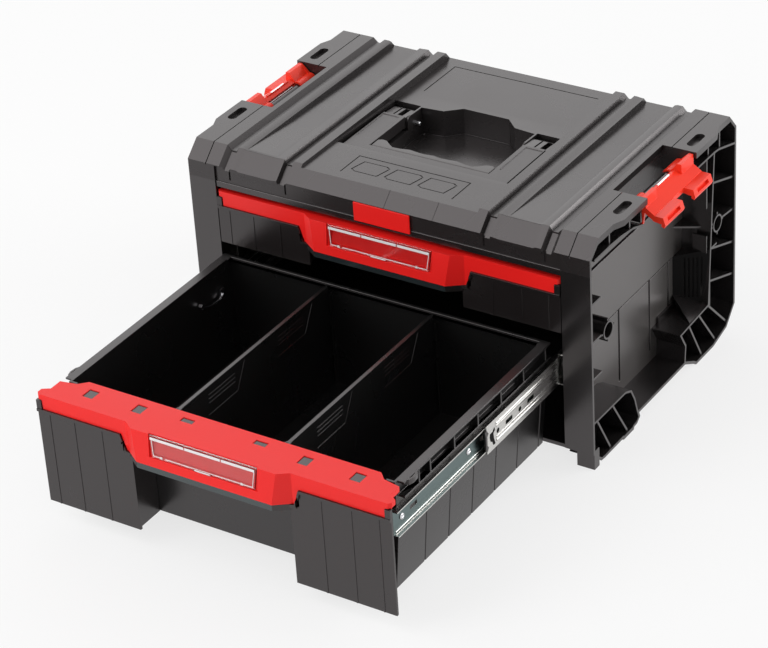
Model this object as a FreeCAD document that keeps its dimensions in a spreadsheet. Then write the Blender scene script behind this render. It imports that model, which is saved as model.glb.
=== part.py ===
"""Stackable tool box with two drawers, as a parametric document.

The box stands on Z = 0 with its front towards -Y, and the origin is the centre of its footprint.
It is drawn as the photograph shows it: lower drawer pulled out, upper drawer shut, lid handle down
and both side latches folded out. Lengths are in millimetres.
"""
import FreeCAD, Part
import math
import os
import Sketcher
from FreeCAD import Vector, Rotation

SIZES = {
    # case
    "case_width": 450, "case_depth": 300, "case_height": 246, "wall": 2.5, "post_width": 31,
    "recess_depth": 31.8, "side_wall_start": 22, "floor_underside": 14.5, "floor_thickness": 4.3,
    "floor_setback": 3.5, "lid_height": 33.5, "foot_width": 19, "foot_height": 17, "foot_depth": 9.5,
    "rail_height": 6.5, "rail_setback": 1.2, "rail_depth": 7, "belt_height": 113, "belt_rise": 1.8,
    "belt_end_gap": 77, "belt_line": 182.5, "groove_width": 3, "groove_sink": 1.4,
    # ribs of the side frames
    "rim_thickness": 3, "rib_thickness": 2.2, "rib_setback": 1.5, "web_thickness": 2.4,
    "boss_radius": 9.5, "boss_bore": 7.7, "boss_height": 138, "front_boss": 35, "rear_boss": 38,
    "slant_corner": 76, "slant_reach": 30.8, "slant_run": 19, "slant_wall": 3, "cell_height": 111,
    # lid
    "chamfer_run": 17.3, "chamfer_drop": 15.7, "rear_run": 15, "rear_drop": 17, "lid_skin": 6.5,
    "ridge_outer": 109, "channel_depth": 5, "inner_channel": 118, "crest": 123, "panel_inner": 128,
    "panel_inset": 60, "outer_crest_width": 6, "outer_crest_inset": 51, "outer_channel_inset": 42,
    "band_inset": 37.4, "seam_inset": 21.5, "seam_groove": 1, "panel_step": 1, "panel_sink": 6.5,
    "centre_sink_front": 3, "centre_sink_rear": 8, "centre_half": 99, "fascia_setback": 2.2,
    "fascia_groove_at": 111.5, "outer_groove_inset": 48, "lug_reach": 5, "dock_front": 77.5,
    "dock_rear": 73, "dock_inset": 7.5, "dock_width": 9.5, "dock_length": 27, "dock_sink": 4.5,
    "badge_half": 31.5, "badge_overlap": 3.2, "badge_height": 20.2, "motif_line": 1.2,
    # carry handle and its well
    "handle_half": 92.5, "handle_front": 77.6, "handle_gap": 2.4, "handle_drop": 5.5,
    "handle_thickness": 12, "arm_inner": 67.6, "bar_depth": 10.2, "pivot_from_front": 170.5,
    "pivot_drop": 19.5, "knuckle_radius": 11.5, "knuckle_gap": 1.3, "handle_pin": 5,
    "pin_play": 0.1, "well_half": 65, "well_depth": 36, "well_rear": 198, "lug_drop": 6.5,
    "well_wall": 2.4, "grip_gap": 0.9, "grip_drop": 0.3, "pin_reach": 3.4,
    # side latches
    "latch_length": 100.5, "latch_from_front": 103.5, "latch_pocket_gap": 0.3, "latch_play": 1.2,
    "latch_pivot_inset": 12, "latch_pivot_drop": 16.5, "latch_bar": 4.2, "latch_sleeve": 6.8,
    "latch_clearance": 0.3,
    # drawers
    "drawer_travel": 300.8, "drawer_side_gap": 1, "lower_cap_drop": 109, "lower_drop": 3,
    "drawer_spacing": 7.5, "upper_clearance": 4, "cap_wall": 2.5, "cap_front": 15.5,
    "cap_depth": 38.3, "bulge_reach": 7.2, "bulge_lean": 3.2, "bulge_half": 74, "bulge_foot": 87,
    "bulge_height": 33, "lip_height": 3, "lip_reach": 2, "finger_half": 87, "front_wall": 2.6,
    "box_front": 31, "box_rear_gap": 6, "runner_space": 12.2, "box_taper": 5, "box_wall": 2.3,
    "rim_width": 7, "rim_drop": 0.5, "rim_channel": 15.5, "rim_pitch": 41.2, "rim_start": 10,
    "rim_front": 28, "side_groove": 1.4, "side_groove_sink": 0.9, "box_clearance": 1.7,
    "upper_box_lift": 3, "box_floor": 2.5, "divider_at": 60, "divider_thickness": 2,
    "divider_gap": 0.4, "window_half": 58.5, "window_height": 21.5, "window_thickness": 1.6,
    "window_play": 0.3,
    # runners
    "runner_height": 34, "runner_sheet": 1.2, "lower_runner_drop": 38.5, "upper_runner_drop": 36,
    "runner_front": 8, "runner_rear_gap": 11, "runner_play": 0.6, "member_front": 22,
}


class Size:
    """A length with its formula in the sheet: sums and products of sizes keep both together."""

    def __init__(self, value, formula):
        self.value = float(value)
        self.formula = str(formula)

    def __add__(self, other):
        other = size_of(other)
        return Size(self.value + other.value, f"({self.formula} + {other.formula})")

    def __sub__(self, other):
        other = size_of(other)
        return Size(self.value - other.value, f"({self.formula} - {other.formula})")

    def __mul__(self, other):
        other = size_of(other)
        return Size(self.value * other.value, f"({self.formula} * {other.formula})")

    def __truediv__(self, other):
        other = size_of(other)
        return Size(self.value / other.value, f"({self.formula} / {other.formula})")

    def __neg__(self):
        return Size(-self.value, f"(0 - {self.formula})")

    __radd__ = __add__
    __rmul__ = __mul__

    def __rsub__(self, other):
        return size_of(other) - self


def size_of(amount):
    """The amount itself where it is a Size, or a plain number as one."""
    if isinstance(amount, Size):
        return amount
    return Size(amount, f"({float(amount):.6f})")


class Sheet:
    """The document's sheet of driving sizes, each read by its name."""

    def __init__(self, document, sizes):
        cells = document.addObject("Spreadsheet::Sheet", "dims")
        for row, (alias, value) in enumerate(sizes.items(), start=1):
            cells.set(f"A{row}", alias)
            cells.set(f"B{row}", str(value))
            cells.setAlias(f"B{row}", alias)
        document.recompute()
        for row, alias in enumerate(sizes, start=1):
            setattr(self, alias, Size(cells.get(f"B{row}"), f"dims.{alias}"))


doc = FreeCAD.newDocument("stackable_tool_box")
d = Sheet(doc, SIZES)

front = -d.case_depth / 2
back = d.case_depth / 2
half = d.case_width / 2
wall_face = half - d.recess_depth
wall_inner = wall_face - d.wall
opening = half - d.post_width
floor_top = d.floor_underside + d.floor_thickness
top = d.case_height
seam = top - d.lid_height
drawer_half = opening - d.drawer_side_gap
box_half = wall_inner - d.runner_space
rim_half = box_half + d.rim_width
box_back = back - d.box_rear_gap
upper_cap_top = seam - d.rail_height - d.upper_clearance
lower_top = top - d.lower_cap_drop
upper_bottom = lower_top + d.drawer_spacing
latch_front = front + d.latch_from_front
latch_rear = latch_front + d.latch_length
latch_x = half - d.latch_pivot_inset
latch_z = top - d.latch_pivot_drop
pivot_z = top - d.pivot_drop
handle_top = top - d.handle_drop


def deep(distance):
    """A place that lies the given distance behind the front face."""
    return front + distance


def bind(thing, prop, amount):
    """Ties one property of a document object to the sheet."""
    thing.setExpression(prop, size_of(amount).formula)


def place(thing, x=0, y=0, z=0):
    """Ties a document object's position to the sheet."""
    for letter, amount in zip("xyz", (x, y, z)):
        bind(thing, f"Placement.Base.{letter}", amount)


def block(name, x, y, z):
    """A box between two places along each axis."""
    box = doc.addObject("Part::Box", name)
    for prop, (low, high) in zip(("Length", "Width", "Height"), (x, y, z)):
        bind(box, prop, size_of(high) - low)
    place(box, x[0], y[0], z[0])
    return box


TURNS = {"x": Rotation(Vector(0, 1, 0), 90), "y": Rotation(Vector(1, 0, 0), -90), "z": Rotation()}
ALONG = {"x": Vector(1, 0, 0), "y": Vector(0, 1, 0), "z": Vector(0, 0, 1)}
PLANES = {
    "x": Rotation(Vector(0, 1, 0), Vector(0, 0, 1), Vector(1, 0, 0)),
    "y": Rotation(Vector(1, 0, 0), Vector(0, 0, 1), Vector(0, -1, 0)),
    "z": Rotation(),
}


def rod(name, axis, centre, radius, low, high):
    """A round bar along an axis; centre holds the two other coordinates in X, Y, Z order."""
    bar = doc.addObject("Part::Cylinder", name)
    bind(bar, "Radius", radius)
    bind(bar, "Height", size_of(high) - low)
    bar.Placement.Rotation = TURNS[axis]
    spot = list(centre)
    spot.insert("xyz".index(axis), low)
    place(bar, *spot)
    return bar


def prism(name, axis, outline, low, high):
    """A solid with the given outline, drawn in the two other axes and run from low to high."""
    sketch = doc.addObject("Sketcher::SketchObject", name + "_outline")
    points = [(size_of(u), size_of(v)) for u, v in outline]
    flat = [Vector(u.value, v.value, 0) for u, v in points]
    count = len(flat)
    sketch.addGeometry([Part.LineSegment(flat[i], flat[(i + 1) % count]) for i in range(count)])
    ties = [Sketcher.Constraint("Coincident", i, 2, (i + 1) % count, 1) for i in range(count)]
    for i, spot in enumerate(flat):
        ties.append(Sketcher.Constraint("DistanceX", -1, 1, i, 1, spot.x))
        ties.append(Sketcher.Constraint("DistanceY", -1, 1, i, 1, spot.y))
    sketch.addConstraint(ties)
    for i, pair in enumerate(points):
        for offset, amount in enumerate(pair):
            if "dims." in amount.formula:
                sketch.setExpression(f"Constraints[{count + 2 * i + offset}]", amount.formula)
    sketch.Placement.Rotation = PLANES[axis]
    bind(sketch, f"Placement.Base.{axis}", low)
    solid = doc.addObject("Part::Extrusion", name)
    solid.Base = sketch
    solid.DirMode = "Custom"
    solid.Dir = ALONG[axis]
    solid.Solid = True
    bind(solid, "LengthFwd", size_of(high) - low)
    return solid


def joined(name, *shapes):
    """One solid out of several."""
    if len(shapes) == 1:
        return shapes[0]
    whole = doc.addObject("Part::MultiFuse", name)
    whole.Shapes = list(shapes)
    whole.Refine = True
    return whole


def cut(name, base, *tools):
    """The base with the tools taken away."""
    rest = doc.addObject("Part::Cut", name)
    rest.Base = base
    rest.Tool = joined(name + "_tools", *tools)
    rest.Refine = True
    return rest


def shared(name, *shapes):
    """What the shapes have in common."""
    common = doc.addObject("Part::MultiCommon", name)
    common.Shapes = list(shapes)
    common.Refine = True
    return common


def mirrored(name, source):
    """The same thing on the other side of the box."""
    twin = doc.addObject("Part::Mirroring", name)
    twin.Source = source
    twin.Normal = Vector(1, 0, 0)
    return twin


def both(name, source):
    """The thing and its twin on the other side, joined."""
    return joined(name, source, mirrored(name + "_twin", source))


def group(name, *shapes):
    """Separate solids kept in one sub-part."""
    bunch = doc.addObject("Part::Compound", name)
    bunch.Links = list(shapes)
    return bunch


def symmetric(points):
    """The right half of an outline about X = 0, with its mirrored half added."""
    twins = [(-size_of(u), v) for u, v in reversed(points) if abs(size_of(u).value) > 1e-6]
    return list(points) + twins


def strip(name, axis, points, thickness, low, high):
    """A rib of even thickness along a line of points, with mitred turns."""
    spots = [Vector(size_of(u).value, size_of(v).value, 0) for u, v in points]
    reach = size_of(thickness).value / 2
    runs = [(b - a).normalize() for a, b in zip(spots, spots[1:])]
    sides = []
    for i, spot in enumerate(spots):
        before = runs[max(i - 1, 0)]
        after = runs[min(i, len(runs) - 1)]
        normal = Vector(-before.y - after.y, before.x + after.x, 0).normalize()
        lean = normal.dot(Vector(-after.y, after.x, 0))
        sides.append(normal * (reach / lean))
    near = [(spot.x + side.x, spot.y + side.y) for spot, side in zip(spots, sides)]
    far = [(spot.x - side.x, spot.y - side.y) for spot, side in zip(spots, sides)]
    return prism(name, axis, near + far[::-1], low, high)


NODES = []


def node(label, solid, pulled=False):
    """Names a finished sub-part; what belongs to the pulled drawer is drawn out with it."""
    solid.Label = label
    if pulled:
        bind(solid, "Placement.Base.y", -d.drawer_travel * pulled)
    NODES.append(solid)
    return solid


# The case: floor, back and side walls, with the rail over the upper drawer.
def cabinet_shell():
    floor = block("floor", (-wall_face, wall_face), (deep(d.floor_setback), back),
                  (d.floor_underside, floor_top))
    rear = block("rear", (-wall_face, wall_face), (back - d.wall, back),
                 (d.floor_underside, seam))
    side = block("side", (wall_inner, wall_face), (deep(d.side_wall_start), back),
                 (d.floor_underside, seam))
    belt = block("belt", (wall_face - d.wall / 2, wall_face + d.belt_rise),
                 (deep(d.side_wall_start), back - d.belt_end_gap),
                 (d.belt_height, seam))
    width = d.groove_width
    cut_x = (wall_face - d.groove_sink, wall_face + 5)
    grooves = [block(f"wall_groove_{at}", cut_x, (deep(at), deep(at) + width), (29, d.belt_height - width))
               for at in (110, 173, 213)]
    for i, height in enumerate((d.belt_height - width, d.belt_line)):
        grooves.append(block(f"belt_groove_{i}", cut_x, (deep(d.side_wall_start) + 4, back - d.belt_end_gap),
                             (height, height + width)))
    side_wall = cut("side_wall", joined("side_and_belt", side, belt), *grooves)
    rail_top = seam
    rail_bottom = rail_top - d.rail_height
    rail = block("rail", (-opening, opening), (deep(d.rail_setback), deep(d.rail_setback + d.rail_depth)),
                 (rail_bottom, rail_top))
    turn = deep(d.side_wall_start) - d.wall - 0.3
    hook = joined("rail_hook", block("rail_end", (wall_inner, opening), (deep(d.rail_setback), turn),
                                     (rail_bottom, rail_top)),
                  block("rail_tail", (wall_inner, wall_face), (turn - 1, deep(d.side_wall_start) + 1),
                        (rail_bottom, rail_top)))
    panels = [block(f"rear_panel_{i}", (x - 42, x + 42), (back - 1, back + 1), (60, 180))
              for i, x in enumerate((-135, 0, 135))]
    shell = joined("shell_body", floor, rear, both("side_walls", side_wall), rail,
                   both("rail_hooks", hook))
    return node("cabinet_shell", cut("shell", shell, *panels))


# A side frame: front post with its foot, the rim round the recess, its ribs and screw bosses.
RIM = [
    [(10.5, 8.5), (15.5, 4.4), (21.5, 3.7), (60, 3.7)],
    [(60, 1.5), (81, 1.5)],
    [(79, 3.7), (87, 4.6), (92, 8.5), (90, 14.8), (-110, 14.8), (-92, 5.5), (-86, 1.5), (-48, 1.5),
     (-19, 8.5), (-1.5, 27), (-1.5, -34)],
]
INNER_RING = [
    [(3, 52), (40.7, 51.4), (65.2, 51.2), (76.2, 46.5), (83.3, 33.4), (89, 15.5)],
    [(-111, 15.5), (-109.2, 34.5), (-119.6, 51.8), (-100, 53), (-59.5, 55), (-48, -24)],
    [(9, -20), (40.7, -19.5), (60, -20.4), (85, -24), (103, -30)],
    [(-92.5, -24), (-48, -24), (-38, -25), (-2, -35)],
]
RIBS = [
    [(40.7, 51), (70.5, 4)], [(10, 51.5), (37, 4)],
    [(-100, 53), (-71, 2)], [(-79, 54), (-41, 4)], [(-59.5, 55), (-16, 12)],
    [(-55, 117), (-2, 99)], [(-58, 81), (-2, 62)], [(-53, 142), (-2, 137)], [(-50, -57.5), (-2, -72.6)],
]
HANGERS = [[(40.5, -20), (40.5, -6.5)], [(80, -23.5), (80, -6.5)],
           [(-58.3, -24), (-58.3, -6.5)], [(-34, -26), (-34, -6.5)]]
WEBS = [
    [(14, 7), (60, 4.5), (86, 5.5), (91, 9), (87, 22), (14, 22)],
    [(-111, 16), (-90, 4), (-48, 3), (-19, 10), (-3, 27), (-3, 60), (-111, 60)],
    [(18, -42), (103, -42), (103, -30), (85, -24), (60, -20.4), (18, -20)],
]


def placed(points):
    """Points given from the front face and the floor, or from the back and the top where negative."""
    return [(deep(y) if y >= 0 else back + y, z if z >= 0 else top + z) for y, z in points]


def boss(name, y, tie):
    """A screw tube with four short fins round its mouth; one fin runs on to the tie's place."""
    outer = d.boss_radius
    tube = rod(name + "_tube", "x", (y, d.boss_height), outer, wall_face, half - 1)
    level = block(name + "_level", (wall_face, half - 1.5), (y - outer - 3, y + outer + 3),
                  (d.boss_height - 1, d.boss_height + 1))
    ends = (tie, y) if tie.value < y.value else (y, tie)
    link = block(name + "_link", (wall_face, half - 4), ends, (d.boss_height - 1, d.boss_height + 1))
    upright = block(name + "_upright", (wall_face, half - 1.5), (y - 1, y + 1),
                    (d.boss_height - outer - 3, d.boss_height + outer + 3))
    return joined(name, tube, level, link, upright)


def slant_at(x):
    """How far back the slanted wall's face stands at a place across the box."""
    return back - d.slant_corner + (size_of(x) - wall_face) * (d.slant_run / d.slant_reach)


def facet(name, section, plan):
    """A plate with a sloping section across the box, trimmed to an outline from above."""
    across = prism(name + "_section", "y", section, front, back)
    return shared(name, across, prism(name + "_plan", "z", plan, 0, top))


def rear_corner(boss_at):
    """The slanted wall with its grille, the ramp at its foot, the shelf over it and the cell's ribs."""
    near = wall_face
    far = wall_face + d.slant_reach
    t = d.slant_wall
    level = d.cell_height
    wall = facet("rear_slant", [(near, 52), (near, level), (far, level + 6.5), (far, 52)],
                 [(near, slant_at(near)), (far, slant_at(far)), (far, slant_at(far) + t),
                  (near, slant_at(near) + t)])
    slots = []
    for i in range(5):
        x = wall_face + 9.5 + 3.6 * i
        ends = [(x, slant_at(x) - 1), (x + 1.6, slant_at(x + 1.6) - 1), (x + 1.6, slant_at(x + 1.6) + 1.7),
                (x, slant_at(x) + 1.7)]
        slots.append(prism(f"grille_slot_{i}", "z", ends, 64, level - 2))
    ramp = facet("rear_ramp", [(near, 65.6), (near, 68), (far, 55.5), (far, 53.1)],
                 [(near, slant_at(near) - 1), (far, back - 99), (far, slant_at(far) + 1),
                  (near, slant_at(near) + 1)])
    shelf = facet("cell_shelf", [(near, level - 2), (near, level), (far, level + 6.5), (far, level + 4.5)],
                  [(near, slant_at(near)), (far, slant_at(far)), (far, back - 40), (near, back - 40)])
    link = facet("cell_link", [(near, 142.5), (near, 144.5), (far - 2, 138.5), (far - 2, 136.5)],
                 [(near, slant_at(near) + 2), (far - 2, boss_at - 9), (far - 2, boss_at), (near, boss_at)])
    ribs = [block(f"cell_rib_{i}", (half - 17, half - 2), (back - 61, back - 59), heights)
            for i, heights in enumerate(((level + 4, d.boss_height - 4), (d.boss_height + 27, top - 24)))]
    return [cut("slant_grille", wall, *slots), ramp, shelf, link, *ribs]


def side_frame():
    end = half
    rib_end = half - d.rib_setback
    pieces = [
        block("post_face", (opening, end), (front, deep(3)), (d.foot_height, seam)),
        block("post_return", (opening, opening + d.wall), (front, deep(d.side_wall_start)),
              (d.floor_underside + 7, seam)),
        block("post_jog", (wall_face, opening + d.wall), (deep(d.side_wall_start) - d.wall,
              deep(d.side_wall_start)), (d.floor_underside + 7, seam)),
        block("foot", (end - d.foot_width, end), (deep(1.6), deep(1.6 + d.foot_depth)),
              (0, d.foot_height + 4)),
        block("rear_edge", (wall_face, end), (back - d.rim_thickness, back), (27, seam)),
    ]
    for i, points in enumerate(RIM):
        pieces.append(strip(f"rim_{i}", "x", placed(points), d.rim_thickness, wall_face, end))
    for i, points in enumerate(INNER_RING):
        pieces.append(strip(f"ring_{i}", "x", placed(points), d.rib_thickness, wall_face, end))
    for i, points in enumerate(RIBS):
        pieces.append(strip(f"rib_{i}", "x", placed(points), d.rib_thickness, wall_face, rib_end))
    for i, points in enumerate(HANGERS):
        pieces.append(strip(f"hanger_{i}", "x", placed(points), d.rib_thickness, wall_face + 6, rib_end))
    for i, points in enumerate(WEBS):
        pieces.append(prism(f"web_{i}", "x", placed(points), wall_face, wall_face + d.web_thickness))
    for i, height in enumerate((98, 138, 179)):
        pieces.append(block(f"post_shelf_{i}", (opening, rib_end), (front, deep(d.side_wall_start)),
                            (height, height + d.rib_thickness)))
    front_boss = deep(d.front_boss)
    rear_boss = back - d.rear_boss
    pieces += rear_corner(rear_boss)
    pieces.append(boss("front_boss_post", front_boss, deep(d.side_wall_start) - 2))
    pieces.append(boss("rear_boss_post", rear_boss, back - 1))
    tab = block("foot_tab", (wall_face, end), (deep(60), deep(81)), (0, 4))
    seat = block("belt_seat", (wall_face - 1, wall_face + d.belt_rise),
                 (deep(d.side_wall_start), back - d.belt_end_gap), (d.belt_height, seam))
    solid = joined("frame_solid", *pieces, tab)
    bores = [rod(f"boss_bore_{i}", "x", (y, d.boss_height), d.boss_bore, wall_face + 8, end + 1)
             for i, y in enumerate((front_boss, rear_boss))]
    below = block("below", (wall_face - 1, end + 1), (front, back), (-20, 0))
    behind = block("behind", (wall_face - 1, end + 1), (back, back + 20), (-20, d.case_height))
    # The frame's top ribs end under the latch pocket, which stays open to the side.
    pocket = block("frame_pocket", (wall_face, end + 1), (latch_front, latch_rear), (seam - 12, top))
    frame = cut("frame", solid, *bores, below, behind, pocket, seat)
    node("right_side_frame", frame)
    node("left_side_frame", mirrored("frame_twin", frame))


# The lid: one moulded cover with ridges that run down both chamfers.
def relief(depth_of_panel):
    """The lid's section across X: distance from the middle, and depth below the top."""
    deep_channel = d.channel_depth
    crest = half - d.outer_crest_inset
    seam_low = half - d.seam_inset - d.seam_groove / 2
    seam_high = half - d.seam_inset + d.seam_groove / 2
    return [
        (d.ridge_outer, 0), (d.ridge_outer + 2, deep_channel), (d.inner_channel, deep_channel),
        (d.inner_channel + 2, 0.5), (d.crest, 0.5), (d.panel_inner, depth_of_panel),
        (half - d.panel_inset, depth_of_panel), (crest - d.outer_crest_width, 0), (crest, 0),
        (crest + 3, deep_channel), (half - d.outer_channel_inset, deep_channel),
        (half - d.band_inset, 0), (seam_low, 0), (seam_low, 1.6), (seam_high, 1.6), (seam_high, 0),
        (half + 8, 0),
    ]


def top_cover():
    section = relief(d.panel_step)
    outline = symmetric([(half + 8, seam)] + [(x, top - size_of(depth)) for x, depth in section[::-1]])
    level = prism("lid_level", "y", outline, front, back)
    slope_front = math.degrees(math.atan2(d.chamfer_drop.value, d.chamfer_run.value))
    slope_rear = -math.degrees(math.atan2(d.rear_drop.value, d.rear_run.value))
    tilted = []
    slopes = (("front", slope_front, deep(d.chamfer_run)), ("rear", slope_rear, back - d.rear_run))
    for name, slope, y in slopes:
        drawn = symmetric([(half + 8, -90)] + [(x, -size_of(depth)) for x, depth in section[::-1]])
        slab = prism(f"{name}_slope", "y", drawn, front, back)
        turned = doc.addObject("Part::Compound", f"{name}_slope_turned")
        turned.Links = [slab]
        turned.Placement.Rotation = Rotation(Vector(1, 0, 0), slope)
        place(turned, 0, y, top)
        tilted.append(turned)
    # Each slope only shapes its own end of the lid, so a plain block fills the rest of its reach.
    across = (-half - 8, half + 8)
    upward = (top - 96, top + 1)
    front_fill = block("front_fill", across, (deep(d.chamfer_run), back), upward)
    rear_fill = block("rear_fill", across, (front, back - d.rear_run), upward)
    front_half = joined("front_shape", tilted[0], front_fill)
    rear_half = joined("rear_shape", tilted[1], rear_fill)
    shaped = shared("lid_shaped", level, front_half, rear_half)
    reach = d.lug_reach
    lug = [(0, front), (half, front), (half, deep(46)), (half + reach, deep(58)),
           (half + reach, back - 52), (half, back - 40), (half, back), (0, back)]
    plan = prism("lid_plan", "z", symmetric(lug), top - 96, top + 10)
    body = shared("lid_body", shaped, plan)
    roof = top - d.centre_sink_rear - 3
    y_in = d.fascia_setback + 3
    hollow = prism("lid_hollow", "x", [(deep(y_in), seam - 1), (deep(y_in), top - 18), (deep(19), roof),
                   (back - 17, roof), (back - 4, top - 19), (back - 4, seam - 1)], -wall_inner, wall_inner)
    skin = d.lid_skin
    ends = prism("end_hollow", "x", [(deep(3), seam - 1), (deep(3), top - 17), (deep(16), top - skin),
                 (back - 13, top - skin), (back - 3, top - 18), (back - 3, seam - 1)],
                 wall_face, half + 10)
    end_post = block("end_post_keep", (wall_face - 1, opening + d.wall), (front, deep(8)),
                     (seam, top - 11))
    end_hollow = cut("end_cavity", ends, end_post)
    pocket = block("latch_pocket_cut", (wall_face + d.latch_pocket_gap, half + 20), (latch_front, latch_rear),
                   (seam - 20, top + 5))
    dock = []
    dock_at = half - d.dock_inset
    for i, y in enumerate((deep(d.dock_front), back - d.dock_rear)):
        run = d.dock_length / 2 - d.dock_width / 2
        slot = [block(f"dock_mid_{i}", (dock_at - d.dock_width / 2, dock_at + d.dock_width / 2),
                      (y - run, y + run), (top - d.dock_sink, top + 2))]
        for j, sign in enumerate((-1, 1)):
            slot.append(rod(f"dock_end_{i}{j}", "z", (dock_at, y + run * sign), d.dock_width / 2,
                            top - d.dock_sink, top + 2))
        dock.append(joined(f"dock_{i}", *slot))
    outer_cuts = both("outer_cuts", joined("outer_cut", end_hollow, pocket, *dock))
    # The dark front strip below the overhanging chamfers.
    setback = d.fascia_setback
    strips = []
    crest_edge = half - d.outer_crest_inset
    band_edge = half - d.band_inset - 3
    edges = (0, d.ridge_outer + 2, d.crest, crest_edge, band_edge, opening)
    for i, drop in enumerate((0, 3.8, 4.8, 3.3, 1)):
        strips.append(block(f"fascia_{i}", (edges[i], edges[i + 1]), (front - 1, deep(setback)),
                            (seam - 1, top - d.chamfer_drop - drop)))
    for i, at in enumerate((size_of(d.fascia_groove_at), half - d.outer_groove_inset)):
        strips.append(block(f"fascia_groove_{i}", (at - 1, at + 1), (front, deep(setback + 1.4)),
                            (seam + 3.5, top - d.chamfer_drop - 1.3)))
    fascia = both("fascia_cuts", joined("fascia_half", *strips))
    # The middle panel and the two side panels sink towards the back.
    fall = [(deep(8), top - d.centre_sink_front), (deep(70), top - d.centre_sink_front),
            (back - 93, top - d.centre_sink_rear), (back + 5, top - d.centre_sink_rear),
            (back + 5, top + 5), (deep(8), top + 5)]
    middle = prism("middle_sink", "x", fall, -d.centre_half, d.centre_half)
    side_fall = [(deep(20), top - d.panel_step - 0.2), (deep(95), top - d.panel_sink * 0.7),
                 (back - 88, top - d.panel_sink), (back + 5, top - d.panel_sink), (back + 5, top + 5),
                 (deep(20), top + 5)]
    side_sink = prism("side_sink", "x", side_fall, d.panel_inner + 3, half - d.panel_inset)
    sinks = both("side_sinks", side_sink)
    # The well under the carry handle hangs from the lid as a tray.
    tray, holes = handle_well(roof)
    hollow_left = cut("lid_hollow_open", hollow, tray)
    lines = motif_grooves()
    webs = []
    for i, (low, high) in enumerate(((latch_front - 3, latch_front), (latch_rear, latch_rear + 3))):
        webs.append(block(f"latch_web_{i}", (wall_inner, half - 1), (low, high), (seam + 7, top - skin)))
    web_pair = both("latch_webs", joined("latch_web", *webs))
    shell = cut("lid_shell", joined("lid_with_tray", body, tray), hollow_left, outer_cuts, fascia,
                middle, sinks, lines)
    opened = cut("lid_opened", joined("lid_webbed", shell, web_pair), holes)
    node("top_cover", opened)


def handle_well(roof):
    """The tray's walls, and what is cut out of the lid and the tray."""
    t = d.well_wall
    w = d.well_half
    recess = d.handle_half + d.handle_gap * 2
    y0 = deep(d.handle_front - d.handle_gap)
    pivot = deep(d.pivot_from_front)
    y1 = pivot + d.knuckle_radius + d.knuckle_gap
    low = pivot_z - d.knuckle_radius - d.knuckle_gap
    well = [(w, deep(90)), (w, deep(181)), (41, deep(183.5)), (26, deep(d.well_rear))]
    around = [(w + t, deep(87)), (w + t, deep(183)), (42, deep(186.5)),
              (27, deep(d.well_rear) + t + 0.6)]
    arms_floor = handle_top - d.handle_thickness - 3
    knuckle_y = deep(152)
    well_wall = prism("well_wall", "z", symmetric(around), top - d.well_depth - t, roof + 1)
    arm_tray = block("arm_tray", (-recess - t, recess + t), (y0 - t, y1 + t), (arms_floor - t, roof + 1))
    pit_wall = block("pit_wall", (w, recess + t), (knuckle_y - t, y1 + t), (low - t, roof + 1))
    outer = joined("tray_outer", well_wall, arm_tray, both("pit_walls", pit_wall))
    above = top + 5
    lug_z = top - d.lug_drop
    hand = prism("hand_well", "z", symmetric(well), top - d.well_depth, above)
    arms = block("arm_recess", (-recess, recess), (y0, deep(154)), (arms_floor, above))
    pit = block("knuckle_pit", (d.arm_inner - 0.6, recess), (knuckle_y, y1), (low, above))
    lug_edge = block("lug_edge", (w - 1, d.arm_inner), (deep(150), deep(160)), (lug_z - 6, above))
    lug_round = rod("lug_round", "x", (deep(160), lug_z - 6), 6, w - 1, d.arm_inner)
    lug_cut = cut("lug_corner", lug_edge, lug_round)
    bore = rod("pin_bore", "x", (pivot, pivot_z), d.handle_pin / 2 + 0.02, w - 3, recess + t + 2)
    spaces = joined("well_spaces", hand, arms, both("pits", pit), both("lug_corners", lug_cut),
                    both("pin_bores", bore))
    return outer, spaces


def motif_grooves():
    """Shallow lines in the lid: two brackets and three blank six-sided fields."""
    line = d.motif_line
    front_level = top - d.centre_sink_front - 0.7
    rear_level = top - d.centre_sink_rear - 0.7
    pieces = []
    for name, points, level in (
            ("front_bracket", [(-61, 25), (-61, 60), (64, 60), (64, 25)], front_level),
            ("rear_bracket", [(-83, -85), (-83, -24), (84, -24)], rear_level)):
        spots = [(x, deep(y) if y >= 0 else back + y) for x, y in points]
        pieces.append(strip(name, "z", spots, line, level, top + 5))
    for i, x in enumerate((-37, 0.5, 38)):
        ring = [(-17, -8), (-13, 9.5), (13, 9.5), (17, 6.5), (13, -11), (-13, -11)]
        rims = [[(x + u * share, deep(42.5 + v * share)) for u, v in ring] for share in (1.04, 0.95)]
        pieces.append(cut(f"field_{i}", prism(f"field_{i}_outer", "z", rims[0], front_level, top + 5),
                          prism(f"field_{i}_inner", "z", rims[1], front_level - 1, top + 6)))
    low = top - d.chamfer_drop - 0.5
    high = top - 0.5
    for i, x in enumerate((3, 57)):
        slope = [(front, low), (deep(d.chamfer_run), high), (deep(d.chamfer_run), high + 4),
                 (front, low + 4)]
        pieces.append(prism(f"slope_line_{i}", "x", slope, x - 0.45, x + 0.45))
    return joined("motif_lines", *pieces)


def badge_plate():
    low = seam - d.badge_overlap
    lip = block("badge_low", (-d.badge_half, d.badge_half), (front - 0.6, deep(d.rail_setback)),
                (low, low + d.badge_height))
    seat = block("badge_seat", (-d.badge_half + 3, d.badge_half - 3), (deep(0.5), deep(d.fascia_setback)),
                 (seam + 0.5, low + d.badge_height - 1))
    node("badge_plate", joined("badge", lip, seat))


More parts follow.
